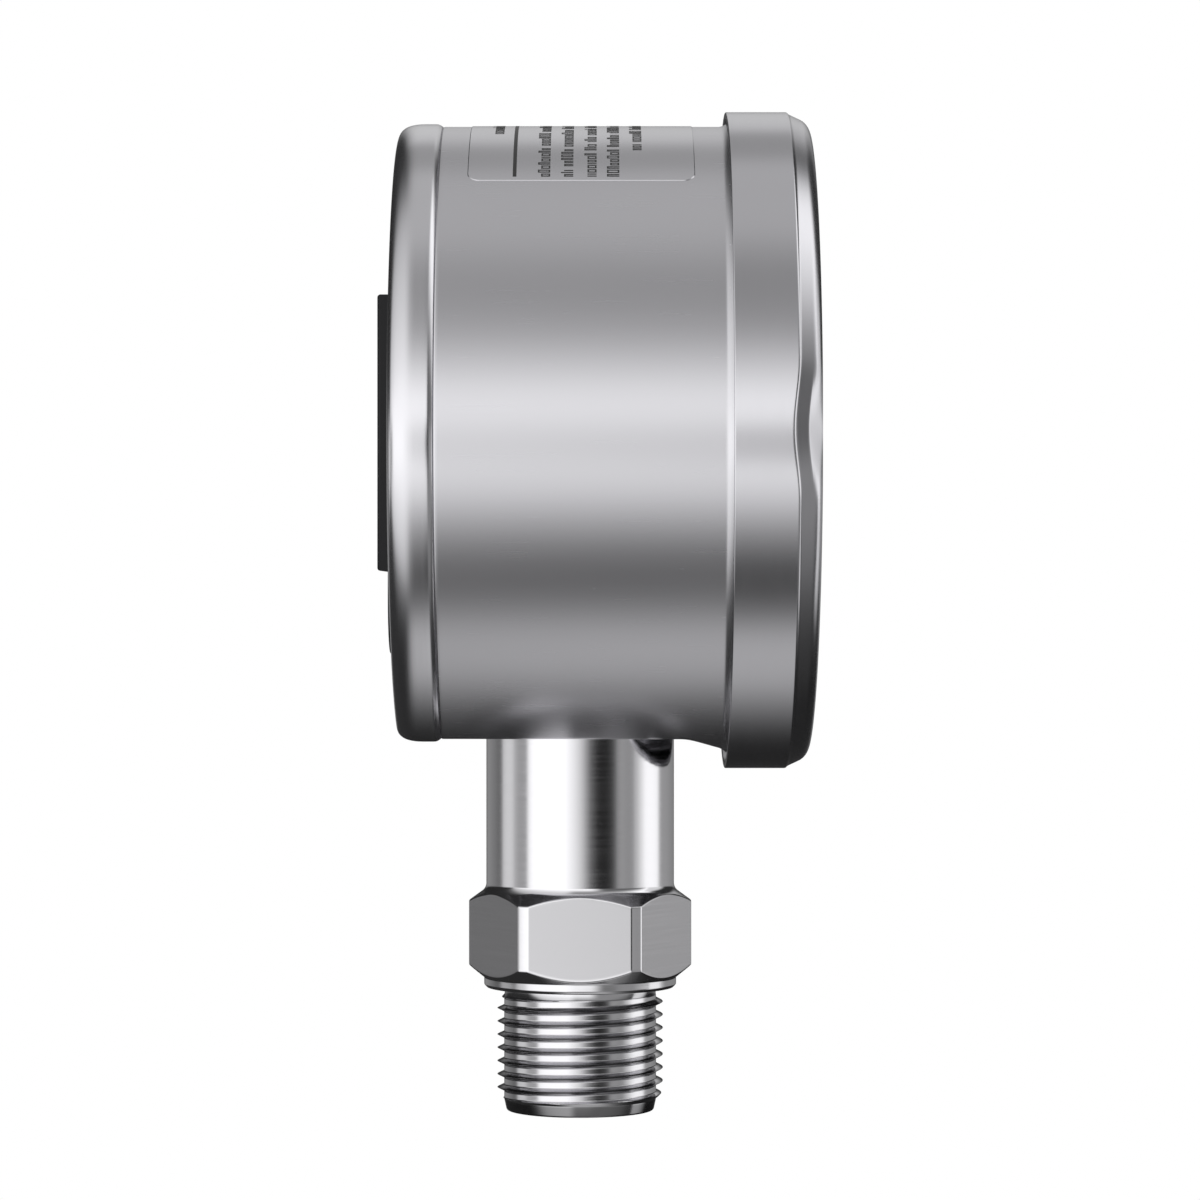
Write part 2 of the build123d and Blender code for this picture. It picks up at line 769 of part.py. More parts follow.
with BuildPart() as battery_socket:
    with BuildSketch(head_plane(-board_rear)):
        with Locations((-battery_socket_place, 0)):
            Rectangle(battery_socket_width, battery_socket_height)
    extrude(amount=-battery_socket_depth)
battery_socket.part.label = "battery_socket"
export_step(battery_socket.part, "parts/battery_socket.step")


# Keys and the switch plungers that they push
plunger_tip = board_front + switch_height + plunger_proud
flange_front = panel_rear - key_clearance
flange_rear = flange_front - key_flange_thickness
for name, place in zip(key_names, key_places):
    with BuildPart() as key:
        with BuildSketch(head_plane(-flange_front)):
            with Locations(place):
                Circle(key_radius)
        extrude(amount=panel_front + key_proud - flange_front)
        fillet(key.faces().sort_by(Axis.Y)[0].edges(), key_edge)
        with BuildSketch(head_plane(-flange_rear)):
            with Locations(place):
                Circle(key_radius + key_flange)
        extrude(amount=key_flange_thickness)
        with BuildSketch(head_plane(-plunger_tip)):
            with Locations(place):
                Circle(key_stem_radius)
        extrude(amount=flange_rear - plunger_tip)
    key.part.label = f"key_{name}"
    export_step(key.part, f"parts/key_{name}.step")

    with BuildPart() as switch_plunger:
        with BuildSketch(head_plane(-plunger_tip)):
            with Locations(place):
                Circle(plunger_radius)
        extrude(amount=-(plunger_proud + plunger_depth))
    switch_plunger.part.label = f"switch_plunger_{name}"
    export_step(switch_plunger.part, f"parts/switch_plunger_{name}.step")


# Flat cable from the sensor up to its socket on the board
flex_start = pocket_floor + sensor_length
flex_turn = spigot_top + flex_bend
flex_end = head_height - flex_socket_drop - flex_socket_height / 2
flex_board = board_rear - flex_socket_depth / 2
flex_slant = flex_end - 2 * flex_bend
with BuildPart() as sensor_flex:
    with BuildSketch(Plane.YZ):
        with BuildLine() as flex_path:
            FilletPolyline(
                (0, flex_start),
                (0, flex_turn),
                (-flex_board, flex_slant),
                (-flex_board, flex_end),
                radius=flex_bend,
            )
        trace(line_width=flex_thickness)
    extrude(amount=flex_width / 2, both=True)
sensor_flex.part.label = "sensor_flex"
export_step(sensor_flex.part, "parts/sensor_flex.step")


# Battery compartment: a box through the rear cover, with a flange that frames the door
flange_outer = cover_rear + flange_proud
cell_depth = cover_rear - cell_sunk - cell_radius
tray_floor = cell_depth - cell_radius - cell_clearance
tray_bottom = tray_floor - tray_wall
door_width = flange_width - 2 * (flange_bar + door_clearance)
hinge_height = flange_height / 2 - flange_bar - door_clearance - door_barrel_radius
hinge_depth = flange_outer - door_barrel_radius
door_bottom = -flange_height / 2 + flange_bar + door_clearance
hinge_room = door_barrel_radius + door_clearance
notch_width = tab_width + 2 * door_clearance
notch_height = 2 * (flange_bar + 2 * door_clearance + tab_root)

with BuildPart() as battery_tray:
    with BuildSketch(head_plane(flange_outer)):
        Rectangle(flange_width, flange_height)
    extrude(amount=flange_proud)
    fillet(battery_tray.faces().sort_by(Axis.Y)[-1].edges(), flange_edge)
    with BuildSketch(head_plane(cover_rear)):
        Rectangle(tray_length, tray_height)
    extrude(amount=cover_rear - tray_bottom)
    with BuildSketch(head_plane(flange_outer)):
        Rectangle(flange_width - 2 * flange_bar, flange_height - 2 * flange_bar)
        with Locations((0, -flange_height / 2)):
            Rectangle(notch_width, notch_height)
    extrude(amount=flange_proud - flange_base, mode=Mode.SUBTRACT)
    with BuildSketch(head_plane(flange_outer)):
        with Locations((0, hinge_height)):
            Rectangle(flange_width - 2 * flange_bar, 2 * hinge_room)
        with Locations((0, -flange_height / 2)):
            Rectangle(notch_width, notch_height)
    extrude(amount=flange_proud, mode=Mode.SUBTRACT)
    with BuildSketch(head_plane(flange_outer)):
        Rectangle(tray_length - 2 * tray_wall, tray_height - 2 * tray_wall)
    extrude(amount=flange_outer - tray_floor, mode=Mode.SUBTRACT)
    with BuildSketch(Plane.YZ):
        with Locations((hinge_depth, head_height + hinge_height)):
            Circle(door_pin_radius + door_pin_clearance)
    extrude(amount=door_width / 2 + door_clearance + door_pin_seat, both=True, mode=Mode.SUBTRACT)
    barb_top = cover_rear - cover_wall - tray_clearance
    for side in (1, -1):
        with BuildSketch(Plane.YZ):
            with Locations((0, head_height)):
                Polygon(
                    (barb_top, side * tray_height / 2),
                    (barb_top, side * (tray_height / 2 + barb_height)),
                    (barb_top - barb_length, side * tray_height / 2),
                    align=None,
                )
        extrude(amount=barb_width / 2, both=True)
battery_tray.part.label = "battery_tray"
export_step(battery_tray.part, "parts/battery_tray.step")

with BuildPart() as door_pin:
    with BuildSketch(Plane.YZ):
        with Locations((hinge_depth, head_height + hinge_height)):
            Circle(door_pin_radius)
    extrude(amount=door_width / 2 + door_clearance + door_pin_seat - door_pin_clearance, both=True)
door_pin.part.label = "door_pin"
export_step(door_pin.part, "parts/door_pin.step")

# Battery door: a plate with a rolled hinge edge and a round-cornered thumb tab
tab_end = -flange_height / 2 - tab_reach
with BuildPart() as battery_door:
    with BuildSketch(head_plane(flange_outer)):
        with Locations((0, (hinge_height + door_bottom) / 2)):
            Rectangle(door_width, hinge_height - door_bottom)
    extrude(amount=door_thickness)
    with BuildSketch(Plane.YZ):
        with Locations((hinge_depth, head_height + hinge_height)):
            Circle(door_barrel_radius)
    extrude(amount=door_width / 2, both=True)
    with BuildSketch(head_plane(cover_rear + tab_gap)) as tab_outline:
        with Locations((0, tab_end)):
            Rectangle(tab_width, door_bottom + tab_root - tab_end, align=(Align.CENTER, Align.MIN))
        fillet(tab_outline.vertices().group_by(Axis.Y)[0], tab_corner)
    extrude(amount=-(flange_proud - tab_gap - tab_step))
    with BuildSketch(Plane.YZ):
        with Locations((hinge_depth, head_height + hinge_height)):
            Circle(door_pin_radius + door_pin_clearance)
    extrude(amount=door_width, both=True, mode=Mode.SUBTRACT)
battery_door.part.label = "battery_door"
export_step(battery_door.part, "parts/battery_door.step")


# Two cells that lie side by side, pointing opposite ways
cell_places = [
    (index - (len(cell_names) - 1) / 2) * cell_pitch + head_height for index in range(len(cell_names))
]
cell_ways = [1 if index % 2 == 0 else -1 for index in range(len(cell_names))]
for name, height, way in zip(cell_names, cell_places, cell_ways):
    with BuildPart() as battery:
        with BuildSketch(Plane.YZ.offset(-way * cell_length / 2)):
            with Locations((cell_depth, height)):
                Circle(cell_radius)
        extrude(amount=way * (cell_length - cell_nub_length))
        fillet(battery.edges().filter_by(GeomType.CIRCLE), cell_edge)
        with BuildSketch(Plane.YZ.offset(way * (cell_length / 2 - cell_nub_length))):
            with Locations((cell_depth, height)):
                Circle(cell_nub_radius)
        extrude(amount=way * cell_nub_length)
    battery.part.label = f"battery_{name}"
    export_step(battery.part, f"parts/battery_{name}.step")


# Contacts: one plate bridges the cells, two plates carry the leads. Each cell's flat end meets a
# leaf spring and each nub a boss on its plate.
contact_wall = tray_length / 2 - tray_wall
contact_reach = contact_room - contact_thickness - contact_gap
with BuildPart() as contact_plates:
    with BuildSketch(Plane.YZ.offset(contact_wall)):
        with Locations((cell_depth, head_height)):
            Rectangle(contact_width, (len(cell_names) - 1) * cell_pitch + contact_width)
    extrude(amount=-contact_thickness)
    with BuildSketch(Plane.YZ.offset(-contact_wall)):
        with Locations(*[(cell_depth, height) for height in cell_places]):
            Rectangle(contact_width, contact_width)
    extrude(amount=contact_thickness)
    for height, way in zip(cell_places, cell_ways):
        with BuildSketch(Plane.YZ.offset(way * (contact_wall - contact_thickness))):
            with Locations((cell_depth, height)):
                Circle(cell_nub_radius + boss_margin)
        extrude(amount=-way * contact_reach)
contact_plates.part.label = "contact_plates"
export_step(contact_plates.part, "parts/contact_plates.step")

with BuildPart() as contact_springs:
    for height, way in zip(cell_places, cell_ways):
        foot = -way * (contact_wall - contact_thickness)
        tip = foot + way * contact_reach
        with BuildSketch(Plane.XY.offset(height)):
            Polygon(
                (foot, cell_depth - spring_spread),
                (tip, cell_depth),
                (foot, cell_depth + spring_spread),
                (foot, cell_depth + spring_spread - 2 * contact_thickness),
                (tip - way * contact_thickness, cell_depth),
                (foot, cell_depth - spring_spread + 2 * contact_thickness),
                align=None,
            )
        extrude(amount=spring_width / 2, both=True)
contact_springs.part.label = "contact_springs"
export_step(contact_springs.part, "parts/contact_springs.step")

# Two leads from the compartment's floor to the battery socket on the board
lead_place = tray_length / 2 - lead_inset
socket_face = battery_socket_depth - board_rear
lead_middle = (tray_bottom + socket_face) / 2
with BuildPart() as battery_leads:
    for side in (1, -1):
        with BuildLine(Plane.XY.offset(head_height + side * lead_spacing / 2)) as lead_path:
            FilletPolyline(
                (-lead_place, tray_bottom),
                (-lead_place, lead_middle + lead_bend),
                (-battery_socket_place, lead_middle - lead_bend),
                (-battery_socket_place, socket_face),
                radius=lead_bend,
            )
        with BuildSketch(lead_path.line ^ 0):
            Circle(lead_radius)
        sweep(path=lead_path.line)
battery_leads.part.label = "battery_leads"
export_step(battery_leads.part, "parts/battery_leads.step")


# Rating label: a film round the top of the case with rounded corners
label_span = 2 * (case_radius + label_gap) * sin(radians(label_arc / 2))
with BuildPart() as rating_label:
    with BuildSketch(section_at(-label_arc / 2)):
        with Locations(((label_rear - label_front) / 2, case_radius + label_gap)):
            Rectangle(label_front + label_rear, label_thickness, align=(Align.CENTER, Align.MIN))
    revolve(axis=head_axis, revolution_arc=label_arc)
    with BuildSketch(Plane.XY.offset(head_height)):
        with Locations((0, (label_rear - label_front) / 2)):
            RectangleRounded(label_span, label_front + label_rear, label_corner)
    extrude(amount=2 * case_radius, mode=Mode.INTERSECT)
rating_label.part.label = "rating_label"
export_step(rating_label.part, "parts/rating_label.step")
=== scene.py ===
"""Looks of a digital pressure gauge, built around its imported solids."""

import json
import logging
import math
from collections.abc import Iterable, Sequence
from dataclasses import dataclass, replace
from enum import Enum
from functools import cache
from typing import ClassVar

import bpy
import numpy as np
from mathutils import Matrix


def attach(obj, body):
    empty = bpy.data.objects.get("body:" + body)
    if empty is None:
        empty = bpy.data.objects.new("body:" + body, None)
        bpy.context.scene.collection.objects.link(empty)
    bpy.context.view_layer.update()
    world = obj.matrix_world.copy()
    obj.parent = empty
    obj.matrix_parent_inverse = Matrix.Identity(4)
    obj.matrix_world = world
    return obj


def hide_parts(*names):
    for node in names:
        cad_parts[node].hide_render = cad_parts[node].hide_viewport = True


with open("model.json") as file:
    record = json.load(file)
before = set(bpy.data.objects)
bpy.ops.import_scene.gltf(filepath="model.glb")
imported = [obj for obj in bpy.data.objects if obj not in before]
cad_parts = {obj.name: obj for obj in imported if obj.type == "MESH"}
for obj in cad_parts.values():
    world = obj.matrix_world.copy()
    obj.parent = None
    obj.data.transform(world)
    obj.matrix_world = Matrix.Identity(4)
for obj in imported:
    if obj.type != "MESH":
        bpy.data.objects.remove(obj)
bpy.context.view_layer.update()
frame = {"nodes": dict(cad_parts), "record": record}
log = logging.getLogger("gauge")

MM = 0.001
HEAD_AXIS = 84.5
CASE_RADIUS = 39.5
HEAD_TURNS = np.linspace(0, 2 * np.pi, 720, endpoint=False)
NEAR_ZERO = 1e-3
SHARP_ANGLE = 35.0
WHITE = (1.0, 1.0, 1.0, 1.0)
Colour = tuple[float, float, float]
Profile = list[tuple[float, float]]
Levels = tuple[tuple[float, float], ...]
Stroke = tuple[float, float, float, float]


class Body(Enum):
    """Bodies that a piece can ride on."""

    HOUSING = "housing"
    RING = "bezel_ring"


class Axle(Enum):
    """Axis that a lofted piece runs round."""

    HEAD = "y"
    STEM = "z"


# Shapes


def smooth_min(first: np.ndarray, second: np.ndarray, reach: float) -> np.ndarray:
    """Takes the lesser of two lengths, rounded where they cross.

    Args:
        first: Lengths in millimetres.
        second: Lengths in millimetres.
        reach: Size of the rounding.

    Returns:
        The rounded lesser lengths.
    """
    share = np.clip(0.5 + 0.5 * (second - first) / reach, 0.0, 1.0)
    return second * (1 - share) + first * share - reach * share * (1 - share)


def rounded_profile(
    corners: np.ndarray, reaches: Sequence[float], steps: int = 4, most: float = 0.45
) -> np.ndarray:
    """Rounds the corners of closed profiles.

    Args:
        corners: Corner points, sections by corners by two.
        reaches: How far each corner's rounding reaches, zero for a sharp one.
        steps: Faces in one rounding.
        most: Largest share of a side that a rounding takes up.

    Returns:
        Points of the rounded profiles, sections by points by two.
    """
    behind = np.roll(corners, 1, axis=1)
    ahead = np.roll(corners, -1, axis=1)
    share = np.linspace(0.0, 1.0, steps + 1)[None, :, None]
    runs = []
    for index, reach in enumerate(reaches):
        here = corners[:, index]
        if reach <= 0:
            runs.append(here[:, None])
            continue
        back, on = behind[:, index] - here, ahead[:, index] - here
        back_length = np.linalg.norm(back, axis=1, keepdims=True)
        on_length = np.linalg.norm(on, axis=1, keepdims=True)
        size = np.minimum(reach, most * np.minimum(back_length, on_length))
        start = (here + back / back_length * size)[:, None]
        end = (here + on / on_length * size)[:, None]
        runs.append((1 - share) ** 2 * start + 2 * share * (1 - share) * here[:, None] + share**2 * end)
    return np.concatenate(runs, axis=1)


def signed_volume(points: np.ndarray, quads: np.ndarray) -> float:
    """Volume inside quads.

    Args:
        points: Points in millimetres.
        quads: Four point numbers a face.

    Returns:
        The volume, negative where the quads face inwards.
    """
    a, b, c, d = (points[quads[:, k]] for k in range(4))
    first = np.einsum("ij,ij->i", a, np.cross(b, c)).sum()
    second = np.einsum("ij,ij->i", a, np.cross(c, d)).sum()
    return float(first + second) / 6


def mesh_object(name: str, points: np.ndarray, quads: np.ndarray, *, sharp_angle: float) -> bpy.types.Object:
    """Makes a smooth-shaded object from quads, facing outwards.

    Args:
        name: Name of the piece.
        points: Points in millimetres.
        quads: Four point numbers a face.
        sharp_angle: Edges that turn by more degrees stay sharp.

    Returns:
        The new object, linked to the scene.
    """
    if signed_volume(points, quads) < 0:
        quads = quads[:, ::-1]
    mesh = bpy.data.meshes.new(name)
    mesh.from_pydata((points * MM).tolist(), [], quads.tolist())
    mesh.update()
    mesh.shade_smooth()
    mesh.set_sharp_from_angle(angle=math.radians(sharp_angle))
    piece = bpy.data.objects.new(name, mesh)
    bpy.context.scene.collection.objects.link(piece)
    return piece


def grid_quads(rows: int, columns: int, wrap: bool) -> np.ndarray:
    """Quads that join neighbouring points of a grid.

    Args:
        rows: Number of rows.
        columns: Number of columns.
        wrap: Whether the last row and column join the first.

    Returns:
        Point numbers, four a quad.
    """
    row = np.arange(rows if wrap else rows - 1)[:, None]
    column = np.arange(columns if wrap else columns - 1)[None, :]
    next_row, next_column = (row + 1) % rows, (column + 1) % columns
    corners = [(row, column), (row, next_column), (next_row, next_column), (next_row, column)]
    return np.stack([down * columns + right for down, right in corners], axis=-1).reshape(-1, 4)


def drop_flat(points: np.ndarray, quads: np.ndarray, least: float = 1e-6) -> np.ndarray:
    """Leaves out quads that have no area.

    Args:
        points: Points in millimetres.
        quads: Four point numbers a face.
        least: Size that a quad has to pass, in square millimetres.

    Returns:
        The quads that stay.
    """
    corners = points[quads]
    size = np.linalg.norm(np.cross(corners[:, 2] - corners[:, 0], corners[:, 3] - corners[:, 1]), axis=1)
    return quads[size > least]


def place_round(axle: Axle, turns: np.ndarray, along: np.ndarray, out: np.ndarray) -> np.ndarray:
    """Puts points round an axis.

    Args:
        axle: The axis that they go round.
        turns: Angles in radians, from the top for the head and from +X for the stem.
        along: Distances along the axis.
        out: Distances from the axis.

    Returns:
        Points in millimetres.
    """
    if axle is Axle.HEAD:
        return np.stack([out * np.sin(turns), along, HEAD_AXIS + out * np.cos(turns)], axis=-1)
    return np.stack([out * np.cos(turns), out * np.sin(turns), along], axis=-1)


def loft_round(
    name: str, axle: Axle, turns: np.ndarray, profiles: np.ndarray, sharp_angle: float = SHARP_ANGLE
) -> bpy.types.Object:
    """Lofts closed profiles into one closed ring.

    Args:
        name: Name of the piece.
        axle: The axis that the ring runs round.
        turns: Angle of each profile.
        profiles: Distances along and from the axis, sections by points by two.
        sharp_angle: Edges that turn by more degrees stay sharp.

    Returns:
        The new object.
    """
    count, size = profiles.shape[:2]
    points = place_round(axle, turns[:, None], profiles[..., 0], profiles[..., 1])
    return mesh_object(name, points.reshape(-1, 3), grid_quads(count, size, True), sharp_angle=sharp_angle)


def level_row(along: float, out: np.ndarray) -> np.ndarray:
    """Row of points at one distance along the axis."""
    return np.stack([np.full(out.shape, along), out], axis=-1)


def place_inside(points: np.ndarray, depth: float) -> np.ndarray:
    """Moves points towards the head's axis.

    Args:
        points: Points in millimetres.
        depth: How far they move.

    Returns:
        The moved points.
    """
    moved = points.copy()
    out = np.hypot(points[..., 0], points[..., 2] - HEAD_AXIS)
    share = (out - depth) / out
    moved[..., 0] = points[..., 0] * share
    moved[..., 2] = HEAD_AXIS + (points[..., 2] - HEAD_AXIS) * share
    return moved


def slab_parts(top: np.ndarray, bottom: np.ndarray, start: int = 0) -> tuple[np.ndarray, np.ndarray]:
    """Points and quads of a closed slab.

    Args:
        top: Upper grid.
        bottom: Lower grid.
        start: Number of the slab's first point.

    Returns:
        The points and the quads.
    """
    rows, columns = top.shape[:2]
    size = rows * columns
    upper = grid_quads(rows, columns, False)
    numbers = np.arange(size).reshape(rows, columns)
    rim = np.concatenate([numbers[0, :-1], numbers[:-1, -1], numbers[-1, :0:-1], numbers[:0:-1, 0]])
    on = np.roll(rim, -1)
    side = np.stack([on, rim, rim + size, on + size], axis=-1)
    quads = np.concatenate([upper, upper[:, ::-1] + size, side[:, ::-1]])
    points = np.concatenate([top.reshape(-1, 3), bottom.reshape(-1, 3)])
    return points, quads + start


# Shader nodes, and effects that several finishes share


def fill(tree: bpy.types.NodeTree, node: bpy.types.Node, values: dict[str | int, object]) -> None:
    """Sets a node's inputs.

    Args:
        tree: The tree that the node is in.
        node: The node.
        values: Numbers, colours or sockets, by input name or number.
    """
    for key, value in values.items():
        if isinstance(value, bpy.types.NodeSocket):
            tree.links.new(value, node.inputs[key])
        else:
            node.inputs[key].default_value = value


def add(
    tree: bpy.types.NodeTree, kind: str, values: dict[str | int, object] | None = None, **settings: object
) -> bpy.types.bpy_prop_collection:
    """Adds a shader node.

    Args:
        tree: The tree that it goes in.
        kind: Its type, as it reads after ShaderNode.
        values: Numbers, colours or sockets, by input name or number.
        settings: The node's own settings.

    Returns:
        The node's outputs.
    """
    node = tree.nodes.new(f"ShaderNode{kind}")
    for name, setting in settings.items():
        setattr(node, name, setting)
    fill(tree, node, values or {})
    return node.outputs


def calc(tree: bpy.types.NodeTree, kind: str, *values: object) -> bpy.types.NodeSocket:
    """Adds a math node for numbers or sockets, and gives its output."""
    return add(tree, "Math", dict(enumerate(values)), operation=kind)["Value"]


def passage(tree: bpy.types.NodeTree, value: object, start: object, end: object) -> bpy.types.NodeSocket:
    """Share that passes softly from none at the start to all at the end."""
    values = {"Value": value, "From Min": start, "From Max": end}
    return add(tree, "MapRange", values, interpolation_type="SMOOTHSTEP")["Result"]


def blend(
    tree: bpy.types.NodeTree, share: object, first: object, second: object, kind: str = "FLOAT"
) -> bpy.types.NodeSocket:
    """Mixes two levels, or two colours where the kind is RGBA."""
    return add(tree, "Mix", {"Factor": share, "A": first, "B": second}, data_type=kind)["Result"]


def uneven(tree: bpy.types.NodeTree, noise: object, spread: object, middle: object) -> bpy.types.NodeSocket:
    """Spreads a noise evenly round a middle value."""
    return calc(tree, "MULTIPLY_ADD", calc(tree, "SUBTRACT", noise, 0.5), spread, middle)


def new_group(name: str, inputs: dict[str, str], outputs: dict[str, str]) -> bpy.types.NodeTree:
    """Makes an empty shader group.

    Args:
        name: Name of the group.
        inputs: Kinds of socket by input name.
        outputs: Kinds of socket by output name.

    Returns:
        The group with its input and output nodes.
    """
    group = bpy.data.node_groups.new(name, "ShaderNodeTree")
    for direction, sockets in (("INPUT", inputs), ("OUTPUT", outputs)):
        for label, kind in sockets.items():
            group.interface.new_socket(name=label, in_out=direction, socket_type=f"NodeSocket{kind}")
    group.nodes.new("NodeGroupInput")
    group.nodes.new("NodeGroupOutput")
    return group


def brush_marks_group() -> bpy.types.NodeTree:
    """Builds the fine parallel scratches of brushed or turned metal.

    Returns:
        A group that puts out the scratches' height and the roughness that goes with it.
    """
    group = new_group(
        "brush marks",
        {"Stretch": "Vector", "Roughness": "Float", "Spread": "Float"},
        {"Height": "Float", "Roughness": "Float"},
    )
    given, put = group.nodes["Group Input"].outputs, group.nodes["Group Output"]
    place = add(group, "TexCoord")["Object"]
    stretched = add(group, "VectorMath", {0: place, 1: given["Stretch"]}, operation="MULTIPLY")["Vector"]
    values = {"Vector": stretched, "Scale": 1.0, "Detail": 3.0, "Roughness": 0.6}
    noise = add(group, "TexNoise", values)["Fac"]
    roughness = uneven(group, noise, given["Spread"], given["Roughness"])
    fill(group, put, {"Height": noise, "Roughness": roughness})
    return group


def mottle_group() -> bpy.types.NodeTree:
    """Builds a soft, uneven tone for surfaces that aren't brushed.

    Returns:
        A group that mixes two colours unevenly and puts out the grain's height.
    """
    group = new_group(
        "mottle",
        {
            "Colour": "Color", "Second Colour": "Color", "Patch Scale": "Float", "Grain Scale": "Float",
            "Roughness": "Float", "Spread": "Float",
        },
        {"Colour": "Color", "Height": "Float", "Roughness": "Float"},
    )
    given, put = group.nodes["Group Input"].outputs, group.nodes["Group Output"]
    place = add(group, "TexCoord")["Object"]
    patch = add(group, "TexNoise", {"Vector": place, "Scale": given["Patch Scale"], "Detail": 2.0})["Fac"]
    grain = add(group, "TexNoise", {"Vector": place, "Scale": given["Grain Scale"], "Detail": 1.0})["Fac"]
    colour = blend(group, patch, given["Colour"], given["Second Colour"], "RGBA")
    roughness = uneven(group, patch, given["Spread"], given["Roughness"])
    fill(group, put, {"Colour": colour, "Height": grain, "Roughness": roughness})
    return group


def painted_shade_group() -> bpy.types.NodeTree:
    """Builds painted shade, a darker colour in a zone, which passes softly into the plain colour beside it.

    Returns:
        A group that puts out the colour.
    """
    group = new_group(
        "painted shade",
        {"Colour": "Color", "Shaded Colour": "Color", "Axes": "Vector", "Start": "Float", "End": "Float"},
        {"Colour": "Color"},
    )
    given, put = group.nodes["Group Input"].outputs, group.nodes["Group Output"]
    place = add(group, "TexCoord")["Object"]
    part = add(group, "VectorMath", {0: place, 1: given["Axes"]}, operation="MULTIPLY")["Vector"]
    away = add(group, "VectorMath", {0: part}, operation="LENGTH")["Value"]
    plain = passage(group, away, given["Start"], given["End"])
    fill(group, put, {"Colour": blend(group, plain, given["Shaded Colour"], given["Colour"], "RGBA")})
    return group


BRUSH_MARKS = brush_marks_group()
MOTTLE = mottle_group()
PAINTED_SHADE_GROUP = painted_shade_group()


def new_material(name: str) -> tuple[bpy.types.Material, bpy.types.NodeTree, bpy.types.Node]:
    """Makes a plain material.

    Args:
        name: Name of the material.

    Returns:
        The material, its tree and its shader.
    """
    made = bpy.data.materials.new(name)
    made.use_nodes = True
    return made, made.node_tree, made.node_tree.nodes["Principled BSDF"]


def relief(tree: bpy.types.NodeTree, height: bpy.types.NodeSocket, depth: float) -> bpy.types.NodeSocket:
    """Normal of a surface with a relief of a depth in millimetres."""
    return add(tree, "Bump", {"Height": height, "Distance": depth * MM, "Strength": 1.0})["Normal"]


@dataclass(frozen=True)
class Zone:
    """Part of a piece darkened by painted shade, between two distances along or from the given axes."""

    axes: tuple[float, float, float]
    start: float
    end: float
    tone: float

    def colour(self, tree: bpy.types.NodeTree, plain: Colour) -> bpy.types.NodeSocket:
        """Adds the zone's painted shade to a material.

        Args:
            tree: The material's tree.
            plain: Colour outside the zone.

        Returns:
            The colour, as it changes over the piece.
        """
        values = {
            "Colour": (*plain, 1.0),
            "Shaded Colour": (*(self.tone * part for part in plain), 1.0),
            "Axes": self.axes,
            "Start": self.start * MM,
            "End": self.end * MM,
        }
        return add(tree, "Group", values, node_tree=PAINTED_SHADE_GROUP)["Colour"]


@dataclass(frozen=True)
class BrushedSteel:
    """Steel with parallel scratches."""

    name: str
    slot: str
    colour: Colour
    roughness: float
    stretch: tuple[float, float, float]
    spread: float = 0.1
    depth: float = 0.0012
    anisotropy: float = 0.0
    tangent_axis: str = "Y"
    # Painted shade that darkens part of the colour, where one is given.
    zone: Zone | None = None

    def material(self) -> bpy.types.Material:
        """Builds the steel, with its scratches in the roughness and the relief, and any painted shade in its
        colour.

        Returns:
            The material.
        """
        made, tree, shader = new_material(self.name)
        values = {"Stretch": self.stretch, "Roughness": self.roughness, "Spread": self.spread}
        marks = add(tree, "Group", values, node_tree=BRUSH_MARKS)
        look = {
            # The base colour carries the painted shade, where a zone is given.
            "Base Color": self.zone.colour(tree, self.colour) if self.zone else (*self.colour, 1.0),
            "Roughness": marks["Roughness"],
            "Normal": relief(tree, marks["Height"], self.depth),
            "Metallic": 1.0,
        }
        fill(tree, shader, look)
        if self.anisotropy:
            tangent = add(tree, "Tangent", direction_type="RADIAL", axis=self.tangent_axis)["Tangent"]
            fill(tree, shader, {"Anisotropic": self.anisotropy, "Tangent": tangent})
        return made


@dataclass(frozen=True)
class Moulding:
    """Plastic, rubber, film or paint with an uneven tone and a fine grain."""

    name: str
    slot: str
    colour: Colour
    second_colour: Colour
    roughness: float
    patch_scale: float = 60.0
    grain_scale: float = 3500.0
    spread: float = 0.08
    depth: float = 0.004
    metallic: float = 0.0
    coat: float = 0.0
    coat_roughness: float = 0.08
    specular: float = 0.5

    def material(self) -> bpy.types.Material:
        """Builds the moulding, with its tone and its grain.

        Returns:
            The material.
        """
        made, tree, shader = new_material(self.name)
        values = {
            "Colour": (*self.colour, 1.0),
            "Second Colour": (*self.second_colour, 1.0),
            "Patch Scale": self.patch_scale,
            "Grain Scale": self.grain_scale,
            "Roughness": self.roughness,
            "Spread": self.spread,
        }
        mottle = add(tree, "Group", values, node_tree=MOTTLE)
        look = {
            "Base Color": mottle["Colour"],
            "Roughness": mottle["Roughness"],
            "Normal": relief(tree, mottle["Height"], self.depth),
            "Metallic": self.metallic,
            "Specular IOR Level": self.specular,
            "Coat Weight": self.coat,
            "Coat Roughness": self.coat_roughness,
        }
        fill(tree, shader, look)
        return made


@dataclass(frozen=True)
class ClearSheet:
    """Clear acrylic with faint wiping marks."""

    name: str
    slot: str
    colour: Colour = (0.96, 0.98, 0.98)
    refraction: float = 1.49
    roughness: float = 0.05
    stretch: tuple[float, float, float] = (90.0, 90.0, 25.0)
    spread: float = 0.04

    def material(self) -> bpy.types.Material:
        """Builds the acrylic.

        Returns:
            The material.
        """
        made, tree, shader = new_material(self.name)
        values = {"Stretch": self.stretch, "Roughness": self.roughness, "Spread": self.spread}
        marks = add(tree, "Group", values, node_tree=BRUSH_MARKS)
        look = {"Base Color": (*self.colour, 1.0), "Transmission Weight": 1.0, "IOR": self.refraction}
        fill(tree, shader, {**look, "Roughness": marks["Roughness"]})
        return made


